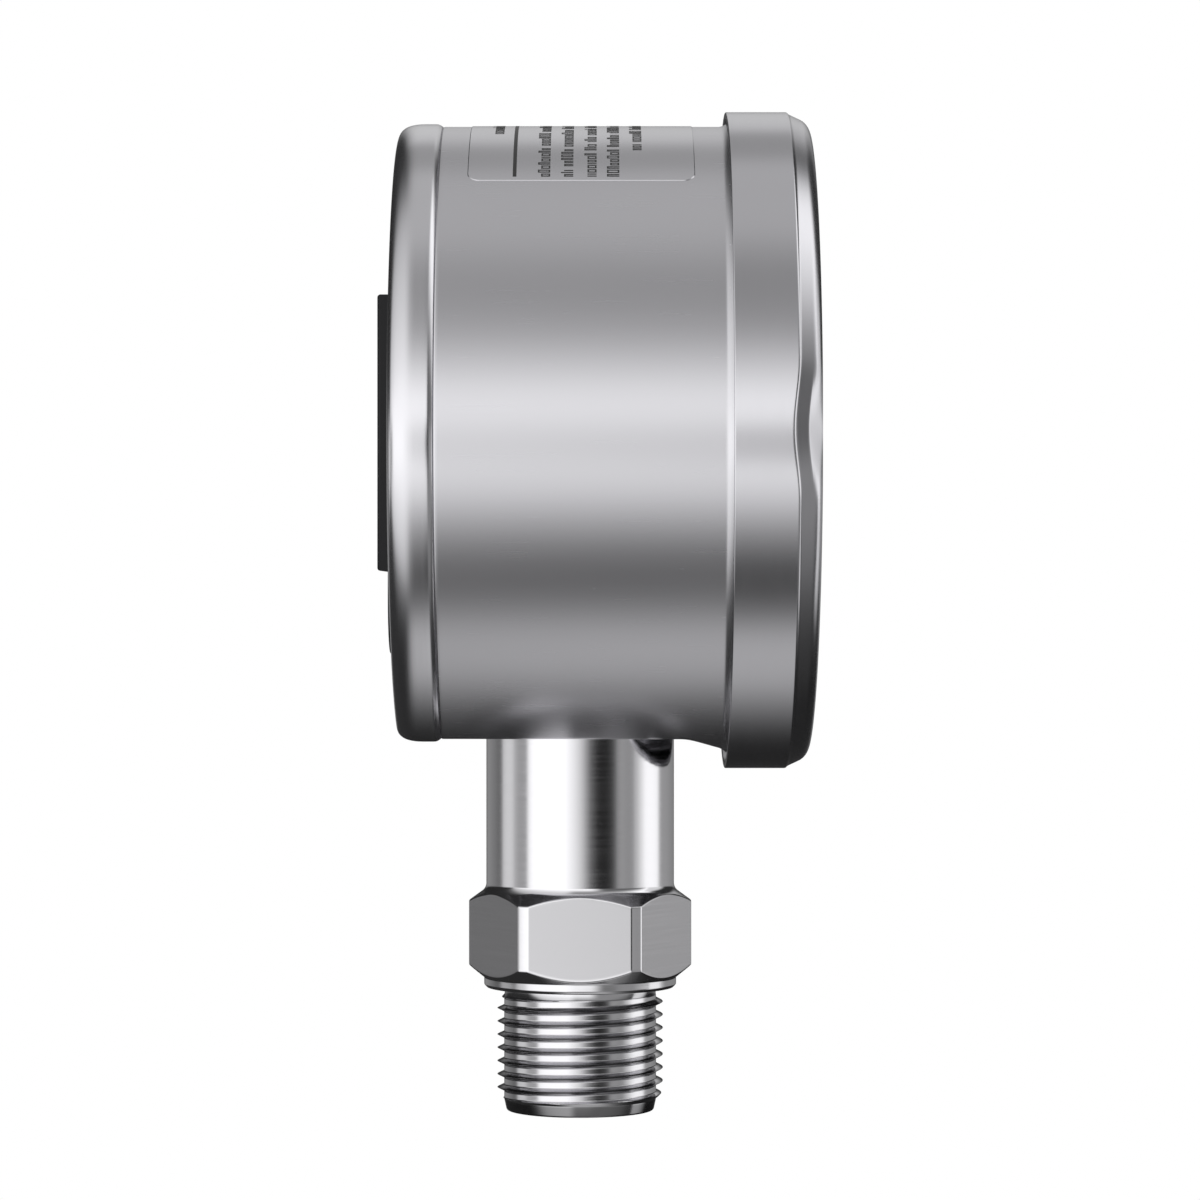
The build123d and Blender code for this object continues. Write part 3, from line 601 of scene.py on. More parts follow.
Finish = BrushedSteel | Moulding | ClearSheet
# Painted shade in the stem's colour, standing in for dark reflections: darker at its end up to 1.2 mm,
# passing to plain by 1.65 mm.
END_PAINTED_SHADE = Zone((0.0, 0.0, 1.0), start=1.2, end=1.65, tone=0.42)
# Painted shade in the thread's colour, standing in for dark reflections: darker on its flanks and crests,
# from 9.9 mm out to fully at 10.45 mm from the axis.
FLANK_PAINTED_SHADE = Zone((1.0, 1.0, 0.0), start=10.45, end=9.9, tone=0.15)
CASE_STEEL = BrushedSteel(
    "case steel", "steel_case", (0.605, 0.60, 0.625), 0.27, (3600.0, 60.0, 3600.0),
    spread=0.02, depth=0.00004, anisotropy=0.35,
)
CAP_STEEL = BrushedSteel(
    "cap steel", "steel_case", (0.645, 0.64, 0.665), 0.21, (160.0, 1800.0, 160.0), spread=0.05, depth=0.0001
)
RING_STEEL = replace(CAP_STEEL, name="ring steel", colour=(0.585, 0.58, 0.605), spread=0.04)
STEM_STEEL = BrushedSteel(
    "stem steel", "steel_turned", (0.69, 0.685, 0.705), 0.11, (60.0, 60.0, 5200.0),
    spread=0.18, anisotropy=0.5, tangent_axis="Z", zone=END_PAINTED_SHADE,
)
# A darker copy of the stem's steel: painted shade over the whole thread, on top of the painted shade on its
# flanks and crests.
SHADED_THREAD_STEEL = replace(STEM_STEEL, name="shaded thread steel", colour=(0.65, 0.645, 0.665), zone=FLANK_PAINTED_SHADE)
SMALL_STEEL = BrushedSteel("small steel", "steel_small", (0.66, 0.66, 0.66), 0.28, (900.0, 900.0, 900.0))
SPRING_STEEL = BrushedSteel("spring steel", "spring_steel", (0.72, 0.70, 0.62), 0.25, (600.0, 2400.0, 600.0))
BLACK_PLASTIC = Moulding(
    "black plastic", "black_plastic", (0.006, 0.006, 0.007), (0.010, 0.010, 0.011), 0.4,
    depth=0.006, specular=0.22,
)
PANEL_PLASTIC = Moulding("panel plastic", "panel_plastic", (0.045, 0.05, 0.058), (0.055, 0.06, 0.07), 0.45)
KEY_RUBBER = Moulding("key rubber", "key_rubber", (0.33, 0.34, 0.36), (0.29, 0.30, 0.32), 0.6)
SEAL_RUBBER = Moulding("seal rubber", "seal_rubber", (0.03, 0.03, 0.03), (0.04, 0.04, 0.04), 0.65)
LCD_CELL = Moulding("display cell", "lcd", (0.47, 0.53, 0.44), (0.50, 0.56, 0.47), 0.3, depth=0.001)
WHITE_PLASTIC = Moulding("white plastic", "white_plastic", (0.82, 0.82, 0.80), (0.87, 0.87, 0.85), 0.4)
STRIP_RUBBER = Moulding("strip rubber", "strip_rubber", (0.26, 0.26, 0.27), (0.34, 0.34, 0.35), 0.6)
BOARD = Moulding("board", "board", (0.03, 0.20, 0.09), (0.05, 0.24, 0.11), 0.35, coat=0.3)
CHIP = Moulding("chip", "chip", (0.04, 0.04, 0.04), (0.06, 0.06, 0.06), 0.5)
CAPACITOR = Moulding("capacitor", "capacitor_sleeve", (0.05, 0.06, 0.11), (0.07, 0.08, 0.13), 0.3, coat=0.3)
FLEX_FILM = Moulding("flex film", "flex_film", (0.70, 0.40, 0.13), (0.76, 0.46, 0.16), 0.3, coat=0.3)
LEAD_SLEEVE = Moulding("lead sleeve", "lead_sleeve", (0.50, 0.04, 0.04), (0.58, 0.06, 0.06), 0.4)
CELL_SLEEVE = Moulding("cell sleeve", "cell_sleeve", (0.28, 0.30, 0.32), (0.33, 0.35, 0.37), 0.3, coat=0.3)
LABEL_FILM = Moulding(
    "label film", "label_film", (0.60, 0.595, 0.62), (0.62, 0.615, 0.64), 0.25,
    depth=0.0, spread=0.04, metallic=1.0,
)
LABEL_INK = Moulding("label ink", "label_film", (0.012, 0.012, 0.012), (0.02, 0.02, 0.02), 0.5, depth=0.0)
CLEAR_LENS = ClearSheet("clear lens", "clear_lens")


@cache
def material_of(finish: Finish) -> bpy.types.Material:
    """The finish's material, made once."""
    return finish.material()


def dress(piece: bpy.types.Object, finish: Finish) -> None:
    """Gives a piece its finish.

    Args:
        piece: The piece to dress.
        finish: Its finish.
    """
    piece.data.materials.clear()
    piece.data.materials.append(material_of(finish))


def seat(
    piece: bpy.types.Object, finish: Finish, body: Body, replaced: Iterable[str] = ()
) -> bpy.types.Object:
    """Dresses a piece and sets it on its body.

    Args:
        piece: The piece, in place.
        finish: Its finish.
        body: The body that it rides on.
        replaced: Nodes that it stands for.

    Returns:
        The same piece.
    """
    dress(piece, finish)
    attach(piece, body.value)
    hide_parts(*replaced)
    log.info("%s: %d faces", piece.name, len(piece.data.polygons))
    return piece


@dataclass
class Head:
    """Case, rear cover and bezel ring, all round the head's axis."""

    flat_drop: float = 37.27
    flat_front: float = 13.4
    flat_rounding: float = 0.25
    ramp_slope: float = math.tan(math.radians(17.8))
    ramp_softness: float = 0.6
    ramp_rows: tuple[tuple[float, float, float], ...] = (
        (-21.5, -18.8, 0.5), (-18.62, -18.6, 0.5), (-18.25, -16.4, 0.15), (-16.0, -12.4, 0.5),
    )
    inner_rows: tuple[float, float, float] = (-12.5, -21.6, -0.5)
    front: float = -24.6
    seam: float = 17.1
    rim_end: float = 20.2
    rim_inset: float = 0.69
    rim_wall: float = 0.8
    rim_root: float = 1.2
    rim_rounding: float = 0.15
    wall: float = 1.0
    lip: float = 4.4
    front_rounding: float = 0.2
    seam_rounding: float = 0.25
    side_end: float = 0.6
    stem_hole: float = 9.2
    flare_rise: float = 0.28
    flare_reach: float = 0.9
    flare_start: float = -18.3
    cover_step: float = 0.33
    cover_rear: float = 22.6
    cover_corner: float = 1.95
    cover_tail: float = 1.3
    cover_wall: float = 0.9
    cover_mouth: float = 0.1
    cover_edge: tuple[tuple[float, float], ...] = (
        (0.0, 0.44), (0.06, 0.35), (0.16, 0.27), (0.3, 0.17), (0.46, 0.08), (0.66, 0.02), (0.9, 0.0),
        (1.1, 0.0),
    )
    hatch_width: float = 50.7
    hatch_height: float = 24.55
    ring_radius: float = 41.33
    ring_rear: float = -18.2
    rear_bevel: tuple[tuple[float, float], ...] = ((0.0, 0.12), (0.035, 0.035), (0.12, 0.0), (0.2, 0.0))
    band_end: float = -24.5
    band_front: float = -25.75
    band_step: tuple[tuple[float, float], ...] = (
        (-0.15, 0.0), (0.0, 0.0), (0.1, 0.03), (0.19, 0.11), (0.28, 0.21), (0.35, 0.27),
    )
    crown: tuple[float, float] = (-27.5, 40.41)
    nose_radius: float = 38.5
    face_radius: float = 37.6
    ring_front: float = -28.7
    ring_opening: float = 34.6
    ring_wall: float = 0.9
    nose_wall: float = 0.6
    crown_wall: tuple[float, float] = (0.9, 1.7)
    band_corner: tuple[float, float] = (0.5, 0.3)
    mouth_bevel: float = 0.1
    lip_bend: tuple[tuple[float, float], ...] = ((0.0, 0.3), (0.12, 0.05), (0.4, 0.0))
    dimple_shift: float = 0.65
    dimple_bend: tuple[float, float] = (-26.95, 40.52)
    dimple_nose: float = -28.35
    dimple_end: tuple[float, float] = (0.1, 0.4)
    dimple_near: float = 0.9
    dimple_reach: float = 8.6
    dimple_turns: tuple[float, ...] = (-90.0, 30.0, 150.0)

    def outline(self, turns: np.ndarray, along: np.ndarray, inset: np.ndarray, step: float) -> np.ndarray:
        """Distance of the flattened outline from the head's axis.

        Args:
            turns: Angles from the top, in radians.
            along: Distances along the axis, for the ramp.
            inset: How far inside the outside the outline lies.
            step: How far the piece stands proud of the case.

        Returns:
            The distances in millimetres.
        """
        past = -self.flat_front - along
        ramp = 0.5 * (past + np.sqrt(past**2 + self.ramp_softness)) * self.ramp_slope
        drop = self.flat_drop + ramp + step - inset
        down = np.maximum(-np.cos(turns), NEAR_ZERO)
        return smooth_min(CASE_RADIUS + step - inset, drop / down, self.flat_rounding)

    def flare(self, along: float) -> float:
        """Extra radius of the case where it bends out towards the ring.

        Args:
            along: Distance along the axis.

        Returns:
            The extra radius, none under the ring itself.
        """
        if along < self.flare_start:
            return 0.0
        share = (self.ring_rear + self.flare_reach - along) / self.flare_reach
        return self.flare_rise * max(0.0, share) ** 2

    def case(self) -> bpy.types.Object:
        """Builds the case with its flattened underside and the stem's hole.

        Returns:
            The case.
        """
        ramp = np.concatenate([np.arange(*row) for row in self.ramp_rows])
        rim_inside = self.rim_inset + self.rim_wall
        corners = [
            (self.front, 0.0, self.front_rounding),
            *((along, -self.flare(along), 0.0) for along in ramp),
            (self.seam - self.side_end, 0.0, 0.0),
            (self.seam, 0.0, self.seam_rounding),
            (self.seam, self.rim_inset, 0.0),
            (self.rim_end, self.rim_inset, self.rim_rounding),
            (self.rim_end, rim_inside, self.rim_rounding),
            (self.seam - self.rim_root, rim_inside, 0.0),
            (self.seam - self.rim_root, self.wall, 0.0),
            *((along, self.wall, 0.0) for along in np.arange(*self.inner_rows)),
            (self.front + self.wall, self.wall, 0.0),
            (self.front + self.wall, self.lip, 0.0),
            (self.front, self.lip, 0.0),
        ]
        table = np.array(corners)
        profile = rounded_profile(table[None, :, :2], table[:, 2].tolist())
        along, inset = np.broadcast_to(profile, (HEAD_TURNS.size, *profile.shape[1:])).transpose(2, 0, 1)
        out = self.outline(HEAD_TURNS[:, None], along, inset, 0.0)
        piece = loft_round("case_shell", Axle.HEAD, HEAD_TURNS, np.stack([along, out], axis=-1))
        bore_hole(piece, self.stem_hole, HEAD_AXIS - self.flat_drop)
        return seat(piece, CASE_STEEL, Body.HOUSING, ["case_body"])

    def cap_outline(self, inset: float) -> np.ndarray:
        """Distance of the rear cover's outline from the head's axis, at an inset."""
        level = np.zeros_like(HEAD_TURNS)
        return self.outline(HEAD_TURNS, level, level + inset, self.cover_step)

    def cover_bend(self, inset: float) -> Profile:
        """Bent corner of the rear cover.

        Args:
            inset: How far inside the outside the bend lies.

        Returns:
            Distances along the axis and insets, from the side to the back.
        """
        bends = np.linspace(0, np.pi / 2, 14)
        ease = self.cover_tail * (1 - np.sin(bends)) ** 2
        size = self.cover_corner - inset
        along = self.cover_rear - inset - size * (1 - np.sin(bends)) - ease
        return list(zip(along, inset + size * (1 - np.cos(bends))))

    def cover(self) -> bpy.types.Object:
        """Builds the rear cover, a cap with a rounded corner and a square hatch.

        Returns:
            The cover.
        """
        wall = self.cover_wall
        outer = [(self.seam + along, inset) for along, inset in self.cover_edge] + self.cover_bend(0.0)
        mouth = [(self.seam + self.cover_mouth, wall), (self.seam, wall - self.cover_mouth / 2)]
        inner = self.cover_bend(wall)[::-1] + mouth
        hatch = np.minimum(
            self.hatch_width / 2 / np.maximum(np.abs(np.sin(HEAD_TURNS)), NEAR_ZERO),
            self.hatch_height / 2 / np.maximum(np.abs(np.cos(HEAD_TURNS)), NEAR_ZERO),
        )
        rim = self.cap_outline(self.cover_corner)
        face, inner_face = self.cover_rear, self.cover_rear - wall
        back = [(face, 0.35), (face, 0.7), (face, 1.0), (inner_face, 1.0), (inner_face, 0.5)]
        rows = [level_row(along, self.cap_outline(inset)) for along, inset in outer]
        rows += [level_row(along, rim * (1 - share) + hatch * share) for along, share in back]
        rows += [level_row(along, self.cap_outline(inset)) for along, inset in inner]
        piece = loft_round("rear_cap", Axle.HEAD, HEAD_TURNS, np.stack(rows, axis=1))
        return seat(piece, CAP_STEEL, Body.HOUSING, ["rear_cover"])

    def dimple_weight(self) -> np.ndarray:
        """How far the ring's edge is pressed in, from none to all, round the ring.

        Returns:
            The weights.
        """
        weight = np.zeros_like(HEAD_TURNS)
        for turn in self.dimple_turns:
            away = HEAD_TURNS - math.radians(turn)
            side = self.ring_radius * np.abs(np.sin(away))
            side = np.where(np.cos(away) > self.dimple_near, side, self.ring_radius)
            weight += 0.5 + 0.5 * np.cos(math.pi * np.minimum(side / self.dimple_reach, 1.0))
        return weight

    def edge_start(self, start: float, bend: tuple[float, float]) -> Profile:
        """Runs from the band down its step and over the crown.

        Args:
            start: Where the band ends.
            bend: Where the crown ends, along and out.

        Returns:
            Distances along and from the axis.
        """
        line = [(start - along, self.ring_radius - drop) for along, drop in self.band_step]
        along, out = line[-1]
        for share in np.linspace(0.1, 1.0, 10):
            line.append((along + share * (bend[0] - along), out + share * (bend[1] - out)))
        return line

    def plain_edge(self) -> Profile:
        """Edge between the dimples, whose nose is one round bend.

        Returns:
            Distances along and from the axis.
        """
        line = self.edge_start(self.band_front, self.crown)
        step_end = line[len(self.band_step) - 1]
        lean = math.atan2(step_end[1] - self.crown[1], step_end[0] - self.crown[0])
        size = (self.crown[0] - self.ring_front) / (1 - math.sin(lean))
        along, out = self.crown[0] + size * math.sin(lean), self.crown[1] - size * math.cos(lean)
        bends = np.linspace(lean, math.pi / 2, 21)[1:]
        return line + [(along - size * math.sin(bend), out + size * math.cos(bend)) for bend in bends]

    def pressed_edge(self) -> Profile:
        """Edge in the middle of a dimple, with a long slope and a small nose.

        Returns:
            Distances along and from the axis, as many as the plain edge has.
        """
        bend = self.dimple_bend
        line = self.edge_start(self.band_front + self.dimple_shift, bend)
        slope = (bend[1] - self.nose_radius - self.dimple_end[0]) / (bend[0] - self.dimple_nose)
        knee = (self.dimple_nose, bend[1] - slope * (bend[0] - self.dimple_nose))
        tip = (self.ring_front, knee[1] - slope * (knee[0] - self.ring_front))
        end = (self.ring_front, self.nose_radius - self.dimple_end[1])
        for share in np.linspace(0.1, 1, 12):
            line.append((bend[0] + share * (knee[0] - bend[0]), bend[1] + share * (knee[1] - bend[1])))
        for share in np.linspace(0.125, 1.0, 8):
            a, b, c = (1 - share) ** 2, 2 * share * (1 - share), share**2
            line.append((a * knee[0] + b * tip[0] + c * end[0], a * knee[1] + b * tip[1] + c * end[1]))
        return line

    def ring_inside(self) -> Profile:
        """Face, opening and inner side of the ring.

        Returns:
            Distances along and from the axis.
        """
        radius, wall = self.ring_radius, self.ring_wall
        line = [(self.ring_front, self.face_radius)]
        line += [(self.ring_front + along, self.ring_opening + out) for along, out in self.lip_bend]
        return line + [
            (self.ring_front + wall, self.ring_opening),
            (self.ring_front + wall, self.nose_radius - self.nose_wall),
            (self.crown[0] + self.crown_wall[0], self.crown[1] - self.crown_wall[1]),
            (self.band_front, radius - wall - self.band_corner[1]),
            (self.band_end + self.band_corner[0], radius - wall),
            (self.ring_rear - self.mouth_bevel, radius - wall),
            (self.ring_rear, radius - wall + self.mouth_bevel),
        ]

    def ring(self) -> bpy.types.Object:
        """Builds the bezel ring with its crown, its round nose and its pressed dimples.

        Returns:
            The ring.
        """
        weight = self.dimple_weight()[:, None, None]
        edge = np.array(self.plain_edge()) * (1 - weight) + np.array(self.pressed_edge()) * weight
        rear = [(self.ring_rear - along, self.ring_radius - drop) for along, drop in self.rear_bevel]
        rear.append((self.band_end, self.ring_radius))
        before, after = (
            np.broadcast_to(run, (HEAD_TURNS.size, len(run), 2)) for run in (rear, self.ring_inside())
        )
        profiles = np.concatenate([before, edge, after], axis=1)
        piece = loft_round("bezel", Axle.HEAD, HEAD_TURNS, profiles, sharp_angle=50.0)
        return seat(piece, RING_STEEL, Body.RING, ["bezel_ring"])


def bore_hole(
    piece: bpy.types.Object, radius: float, height: float, depth: float = 6.0, rise: float = 0.5
) -> None:
    """Cuts an upright round hole through a piece on the stem's axis.

    Args:
        piece: The piece to cut.
        radius: Radius of the hole in millimetres.
        height: Height of the wall that it goes through, in millimetres.
        depth: How long the tool is.
        rise: How far the tool's middle lies above the wall.
    """
    middle = (0, 0, (height + rise) * MM)
    bpy.ops.mesh.primitive_cylinder_add(vertices=96, radius=radius * MM, depth=depth * MM, location=middle)
    tool = bpy.context.object
    cut = piece.modifiers.new("hole", "BOOLEAN")
    cut.operation = "DIFFERENCE"
    cut.solver = "EXACT"
    cut.object = tool
    bpy.context.view_layer.update()
    shaped = piece.evaluated_get(bpy.context.evaluated_depsgraph_get())
    mesh = bpy.data.meshes.new_from_object(shaped)
    piece.modifiers.clear()
    piece.data = mesh
    mesh.set_sharp_from_angle(angle=math.radians(SHARP_ANGLE))
    bpy.data.objects.remove(tool)


@dataclass
class Connection:
    """Turned stem with its hexagon, collar, neck and pipe thread."""

    end_radius: float = 9.62
    end_taper: float = 0.3
    end_chamfer: float = 0.15
    end_rounding: float = 0.1
    core_radius: float = 9.25
    core_ends: tuple[float, float] = (0.1, 0.35)
    core_step: float = 0.5
    neck_radius: float = 9.55
    collar_radius: float = 12.13
    collar_bottom: float = 15.55
    collar_bevel: float = 0.35
    collar_roundings: tuple[float, float, float] = (0.05, 0.12, 0.08)
    neck_gap: float = 0.02
    hex_flats: float = 25.0
    hex_corner: float = 14.05
    hex_bottom: float = 18.35
    hex_top: float = 26.45
    hex_rounding: float = 0.16
    corner_rounding: float = 0.06
    face_edge: float = 0.5
    bottom_slope: float = math.tan(math.radians(39))
    top_slope: float = math.tan(math.radians(36))
    stem_radius: float = 11.86
    stem_fillet: float = 1.3
    underside: float = 47.23
    spigot_radius: float = 9.0
    spigot_top: float = 55.83
    spigot_chamfer: float = 0.6
    pocket_radius: float = 6.6
    pocket_floor: float = 31.23
    inlet_radius: float = 3.0
    thread_radius: float = 10.4775
    thread_root: float = 9.6
    thread_flank: float = 2.1
    thread_wall: float = 0.95
    crest_rounding: float = 0.08
    root_rounding: float = 0.14
    pitch: float = 1.667
    thread_phase: float = 0.2425
    thread_bottom: float = 1.45
    thread_top: float = 13.7
    runout: tuple[float, float] = (0.25, 1.25)

    def hex_turns(self) -> np.ndarray:
        """Angles of the sections, close together at the hexagon's edges.

        Returns:
            The angles in radians, in order.
        """
        edge = math.degrees(math.acos(self.hex_flats / 2 / self.hex_corner))
        near = (-1.2, -0.7, -0.4, -0.2, 0.0, 0.2, 0.4, 0.7, 1.2, 2.0)
        half = [*np.linspace(0, edge - 2.0, 14), *(edge + offset for offset in near)]
        half = [turn for turn in half if turn < 30.0]
        face = sorted({round(turn, 6) for turn in [*half, *(-turn for turn in half)]} | {30.0})
        return np.radians(sorted(turn + 60.0 * side for side in range(6) for turn in face))

    def fillet(self) -> Profile:
        """Hollow rounding where the stem meets the hexagon's chamfer.

        Returns:
            Heights and radii, upwards.
        """
        radius, size = self.stem_radius, self.stem_fillet
        turn = math.radians(90) - math.atan(self.top_slope)
        foot_radius = radius + size * (1 - math.cos(turn))
        foot = self.hex_top + (self.hex_corner - foot_radius) * self.top_slope
        return [
            (foot + size * (math.sin(turn) - math.sin(bend)), radius + size * (1 - math.cos(bend)))
            for bend in np.linspace(turn, 0, 9)
        ]

    def body(self) -> bpy.types.Object:
        """Builds the turned piece from its end face up to its spigot.

        Returns:
            The piece.
        """
        turns = self.hex_turns()
        from_face = (turns + math.pi / 6) % (math.pi / 3) - math.pi / 6
        flat = self.hex_flats / 2 / np.cos(from_face)
        out = smooth_min(flat, np.full_like(flat, self.hex_corner), self.corner_rounding)
        foot = self.hex_bottom - (self.hex_corner - self.collar_radius) * self.bottom_slope
        low = self.hex_bottom - (self.hex_corner - out) * self.bottom_slope
        high = self.hex_top + (self.hex_corner - out) * self.top_slope
        core_bottom, core_top = self.thread_bottom + self.core_ends[0], self.thread_top + self.core_ends[1]
        end, chamfer = self.end_radius - self.end_taper, self.end_chamfer
        rows: list[tuple[np.ndarray | float, np.ndarray | float, float]] = [
            (0.0, self.inlet_radius + chamfer, 0.0),
            (0.0, end - chamfer, self.end_rounding),
            (chamfer, end, self.end_rounding),
            (core_bottom, self.end_radius, 0.0),
            (core_bottom + self.core_step, self.core_radius, 0.0),
            (core_top, self.core_radius, 0.0),
            (core_top + self.core_step, self.neck_radius, 0.0),
            (self.collar_bottom - self.neck_gap, self.neck_radius, 0.0),
            (self.collar_bottom, self.collar_radius - self.collar_bevel, self.collar_roundings[0]),
            (self.collar_bottom + self.collar_bevel, self.collar_radius, self.collar_roundings[1]),
            (foot, self.collar_radius, self.collar_roundings[2]),
            (low, out, self.hex_rounding),
            (low + self.face_edge, out, 0.0),
            (high - self.face_edge, out, 0.0),
            (high, out, self.hex_rounding),
            *((along, radius, 0.0) for along, radius in self.fillet()),
            (self.underside, self.stem_radius, 0.0),
            (self.underside, self.spigot_radius, 0.0),
            (self.spigot_top - self.spigot_chamfer, self.spigot_radius, 0.0),
            (self.spigot_top, self.spigot_radius - self.spigot_chamfer, 0.0),
            (self.spigot_top, self.pocket_radius, 0.0),
            (self.pocket_floor, self.pocket_radius, 0.0),
            (self.pocket_floor, self.inlet_radius, 0.0),
            (chamfer, self.inlet_radius, 0.0),
        ]
        corners = np.array([np.broadcast_arrays(along, radius, turns)[:2] for along, radius, _ in rows])
        profiles = rounded_profile(corners.transpose(2, 0, 1), [row[2] for row in rows])
        piece = loft_round("connection", Axle.STEM, turns, profiles, sharp_angle=32.0)
        return seat(piece, STEM_STEEL, Body.HOUSING, ["process_connection"])

    def thread(self) -> bpy.types.Object:
        """Builds the right-hand pipe thread, which runs out into the end and the neck.

        Returns:
            The thread.
        """
        around, across = 240, 24
        low, high = self.thread_bottom - self.runout[0], self.thread_top + self.runout[1]
        coils = math.ceil((high - low) / self.pitch) + 1
        step = np.arange(coils * around + 1)
        turns = 2 * np.pi * step[:, None] / around
        share = np.arange(across + 1) / across
        along = low + self.pitch * (step[:, None] / around + share[None, :] - 1 + self.thread_phase)
        along = np.clip(along, low, high)
        flank = self.thread_radius - self.thread_flank * self.pitch * np.abs(share - 0.5)
        crest = smooth_min(flank, np.full_like(flank, self.thread_radius), self.crest_rounding)
        wave = -smooth_min(-crest, np.full_like(crest, -self.thread_root), self.root_rounding)
        lead_in = self.end_radius + (along - self.thread_bottom)
        lead_out = self.thread_radius - (along - self.thread_top)
        out = smooth_min(np.broadcast_to(wave, along.shape), lead_in, self.crest_rounding)
        out = smooth_min(out, lead_out, self.crest_rounding)
        inside = np.full_like(out, self.thread_root - self.thread_wall)
        outer, inner = (place_round(Axle.STEM, turns, along, radius) for radius in (out, inside))
        points, quads = slab_parts(outer, inner)
        piece = mesh_object("pipe_thread", points, drop_flat(points, quads), sharp_angle=60.0)
        return seat(piece, SHADED_THREAD_STEEL, Body.HOUSING)


@dataclass
class Label:
    """Film round the top of the case, with rows of plain strokes in place of print."""

    radius: float = CASE_RADIUS + 0.01
    thickness: float = 0.08
    front: float = -14.0
    rear: float = 13.5
    half_arc: float = 39.7
    corner: float = 1.5
    bevel: float = 0.09
    sink: float = 0.03
    ink: float = 0.02
    ink_sink: float = 0.01
    stroke: float = 0.2
    letter_widths: tuple[float, ...] = (0.2, 0.55, 0.65, 0.75)
    closed_width: float = 0.6
    letter_gap: float = 0.26
    word_gap: float = 0.7
    word_length: tuple[int, int] = (3, 10)
    tall_height: float = 1.5
    tall_chance: float = 0.3
    low_share: float = 0.74
    rule: tuple[float, float] = (7.58, 8.03)
    rule_arc: float = 38.5
    segment: float = 1.2
    draw: int = 7
    rows: tuple[tuple[float, float, float], ...] = (
        (3.5, -38.5, 36.0), (0.72, -38.5, 30.0), (-2.1, -38.5, 8.0), (-4.85, -38.5, 21.0),
        (-7.6, -28.5, 28.5), (9.3, -19.0, 19.0),
    )

    def arc(self, degrees: float) -> float:
        """Length round the case of an angle from the top."""
        return math.radians(degrees) * self.radius

    def half_width(self, along: np.ndarray, inset: float) -> np.ndarray:
        """Half the film's developed width at a distance along the head.

        Args:
            along: Distances along the head's axis.
            inset: How far inside the film's edge the outline lies.

        Returns:
            Half widths in millimetres.
        """
        corner = self.corner - inset
        past = np.maximum(self.front + self.corner - along, along - (self.rear - self.corner))
        bend = np.sqrt(np.maximum(corner**2 - np.maximum(past, 0.0) ** 2, 0.0))
        return self.arc(self.half_arc) - inset - corner + bend

    def sheet(self, inset: float, radius: float) -> np.ndarray:
        """Grid of points over a round-cornered outline that follows the case.

        Args:
            inset: How far inside the film's edge the outline lies.
            radius: Distance of the points from the head's axis.

        Returns:
            The points, rows by columns by three.
        """
        corner, steps, columns = self.corner - inset, 12, 161
        bends = np.linspace(0, np.pi / 2, steps)
        front, rear = self.front + inset, self.rear - inset
        rows = [
            front + corner * (1 - np.cos(bends)),
            np.linspace(front + corner, rear - corner, steps)[1:-1],
            rear - corner * (1 - np.sin(bends)),
        ]
        along = np.concatenate(rows)[:, None]
        turns = self.half_width(along, inset) * np.linspace(-1, 1, columns)[None, :] / self.radius
        along = np.broadcast_to(along, turns.shape)
        return place_round(Axle.HEAD, turns, along, np.full_like(turns, radius))

    def film(self) -> bpy.types.Object:
        """Builds the film with its bevelled edge.

        Returns:
            The film.
        """
        foot = np.pad(self.sheet(0.0, self.radius), ((1, 1), (1, 1), (0, 0)), mode="edge")
        top = foot.copy()
        top[1:-1, 1:-1] = self.sheet(self.bevel, self.radius + self.thickness)
        points, quads = slab_parts(top, place_inside(foot, self.sink))
        piece = mesh_object("label_face", points, drop_flat(points, quads), sharp_angle=25.0)
        return seat(piece, LABEL_FILM, Body.HOUSING, ["rating_label"])

    def letter(self, base: float, tall: float, place: float, width: float) -> list[Stroke]:
        """Strokes of one made-up letter.

        Args:
            base: Where its foot stands, along the head.
            tall: Its height.
            place: Where it starts, round the case.
            width: Its width.

        Returns:
            Strokes as two distances along and two round the case.
        """
        thick, end = self.stroke, place + width
        strokes = [(base, base + tall, place, place + thick)]
        if width > thick:
            strokes.append((base, base + tall, end - thick, end))
            strokes.append((base + tall - thick, base + tall, place + thick, end - thick))
        if width > self.closed_width:
            strokes.append((base, base + thick, place + thick, end - thick))
        return strokes

    def letters(self, chance: np.random.Generator) -> Iterable[Stroke]:
        """Strokes of the rows that stand for print.

        Args:
            chance: Source of the letters' widths and heights.

        Returns:
            The strokes, one after another.
        """
        for base, start, end in self.rows:
            place, limit = self.arc(start), self.arc(end)
            while place < limit:
                for _ in range(int(chance.integers(*self.word_length))):
                    width = float(chance.choice(self.letter_widths))
                    share = 1.0 if chance.random() < self.tall_chance else self.low_share
                    yield from self.letter(base, share * self.tall_height, place, width)
                    place += width + self.letter_gap
                place += self.word_gap

    def print_rows(self) -> bpy.types.Object:
        """Builds a rule and rows of plain strokes where a label has its print.

        Returns:
            The print.
        """
        face = self.radius + self.thickness
        reach = self.arc(self.rule_arc)
        strokes = [(*self.rule, -reach, reach), *self.letters(np.random.default_rng(self.draw))]
        parts, quads, count = [], [], 0
        for low, high, start, end in strokes:
            turns = np.linspace(start, end, max(2, int((end - start) / self.segment)))[None, :] / self.radius
            turns, along = np.broadcast_arrays(turns, np.array([low, high])[:, None])
            upper, lower = (
                place_round(Axle.HEAD, turns, along, np.full(turns.shape, radius))
                for radius in (face + self.ink, face - self.ink_sink)
            )
            points, faces = slab_parts(upper, lower, count)
            parts.append(points)
            quads.append(faces)
            count += len(points)
        piece = mesh_object("label_print", np.concatenate(parts), np.concatenate(quads), sharp_angle=50.0)
        return seat(piece, LABEL_INK, Body.HOUSING)


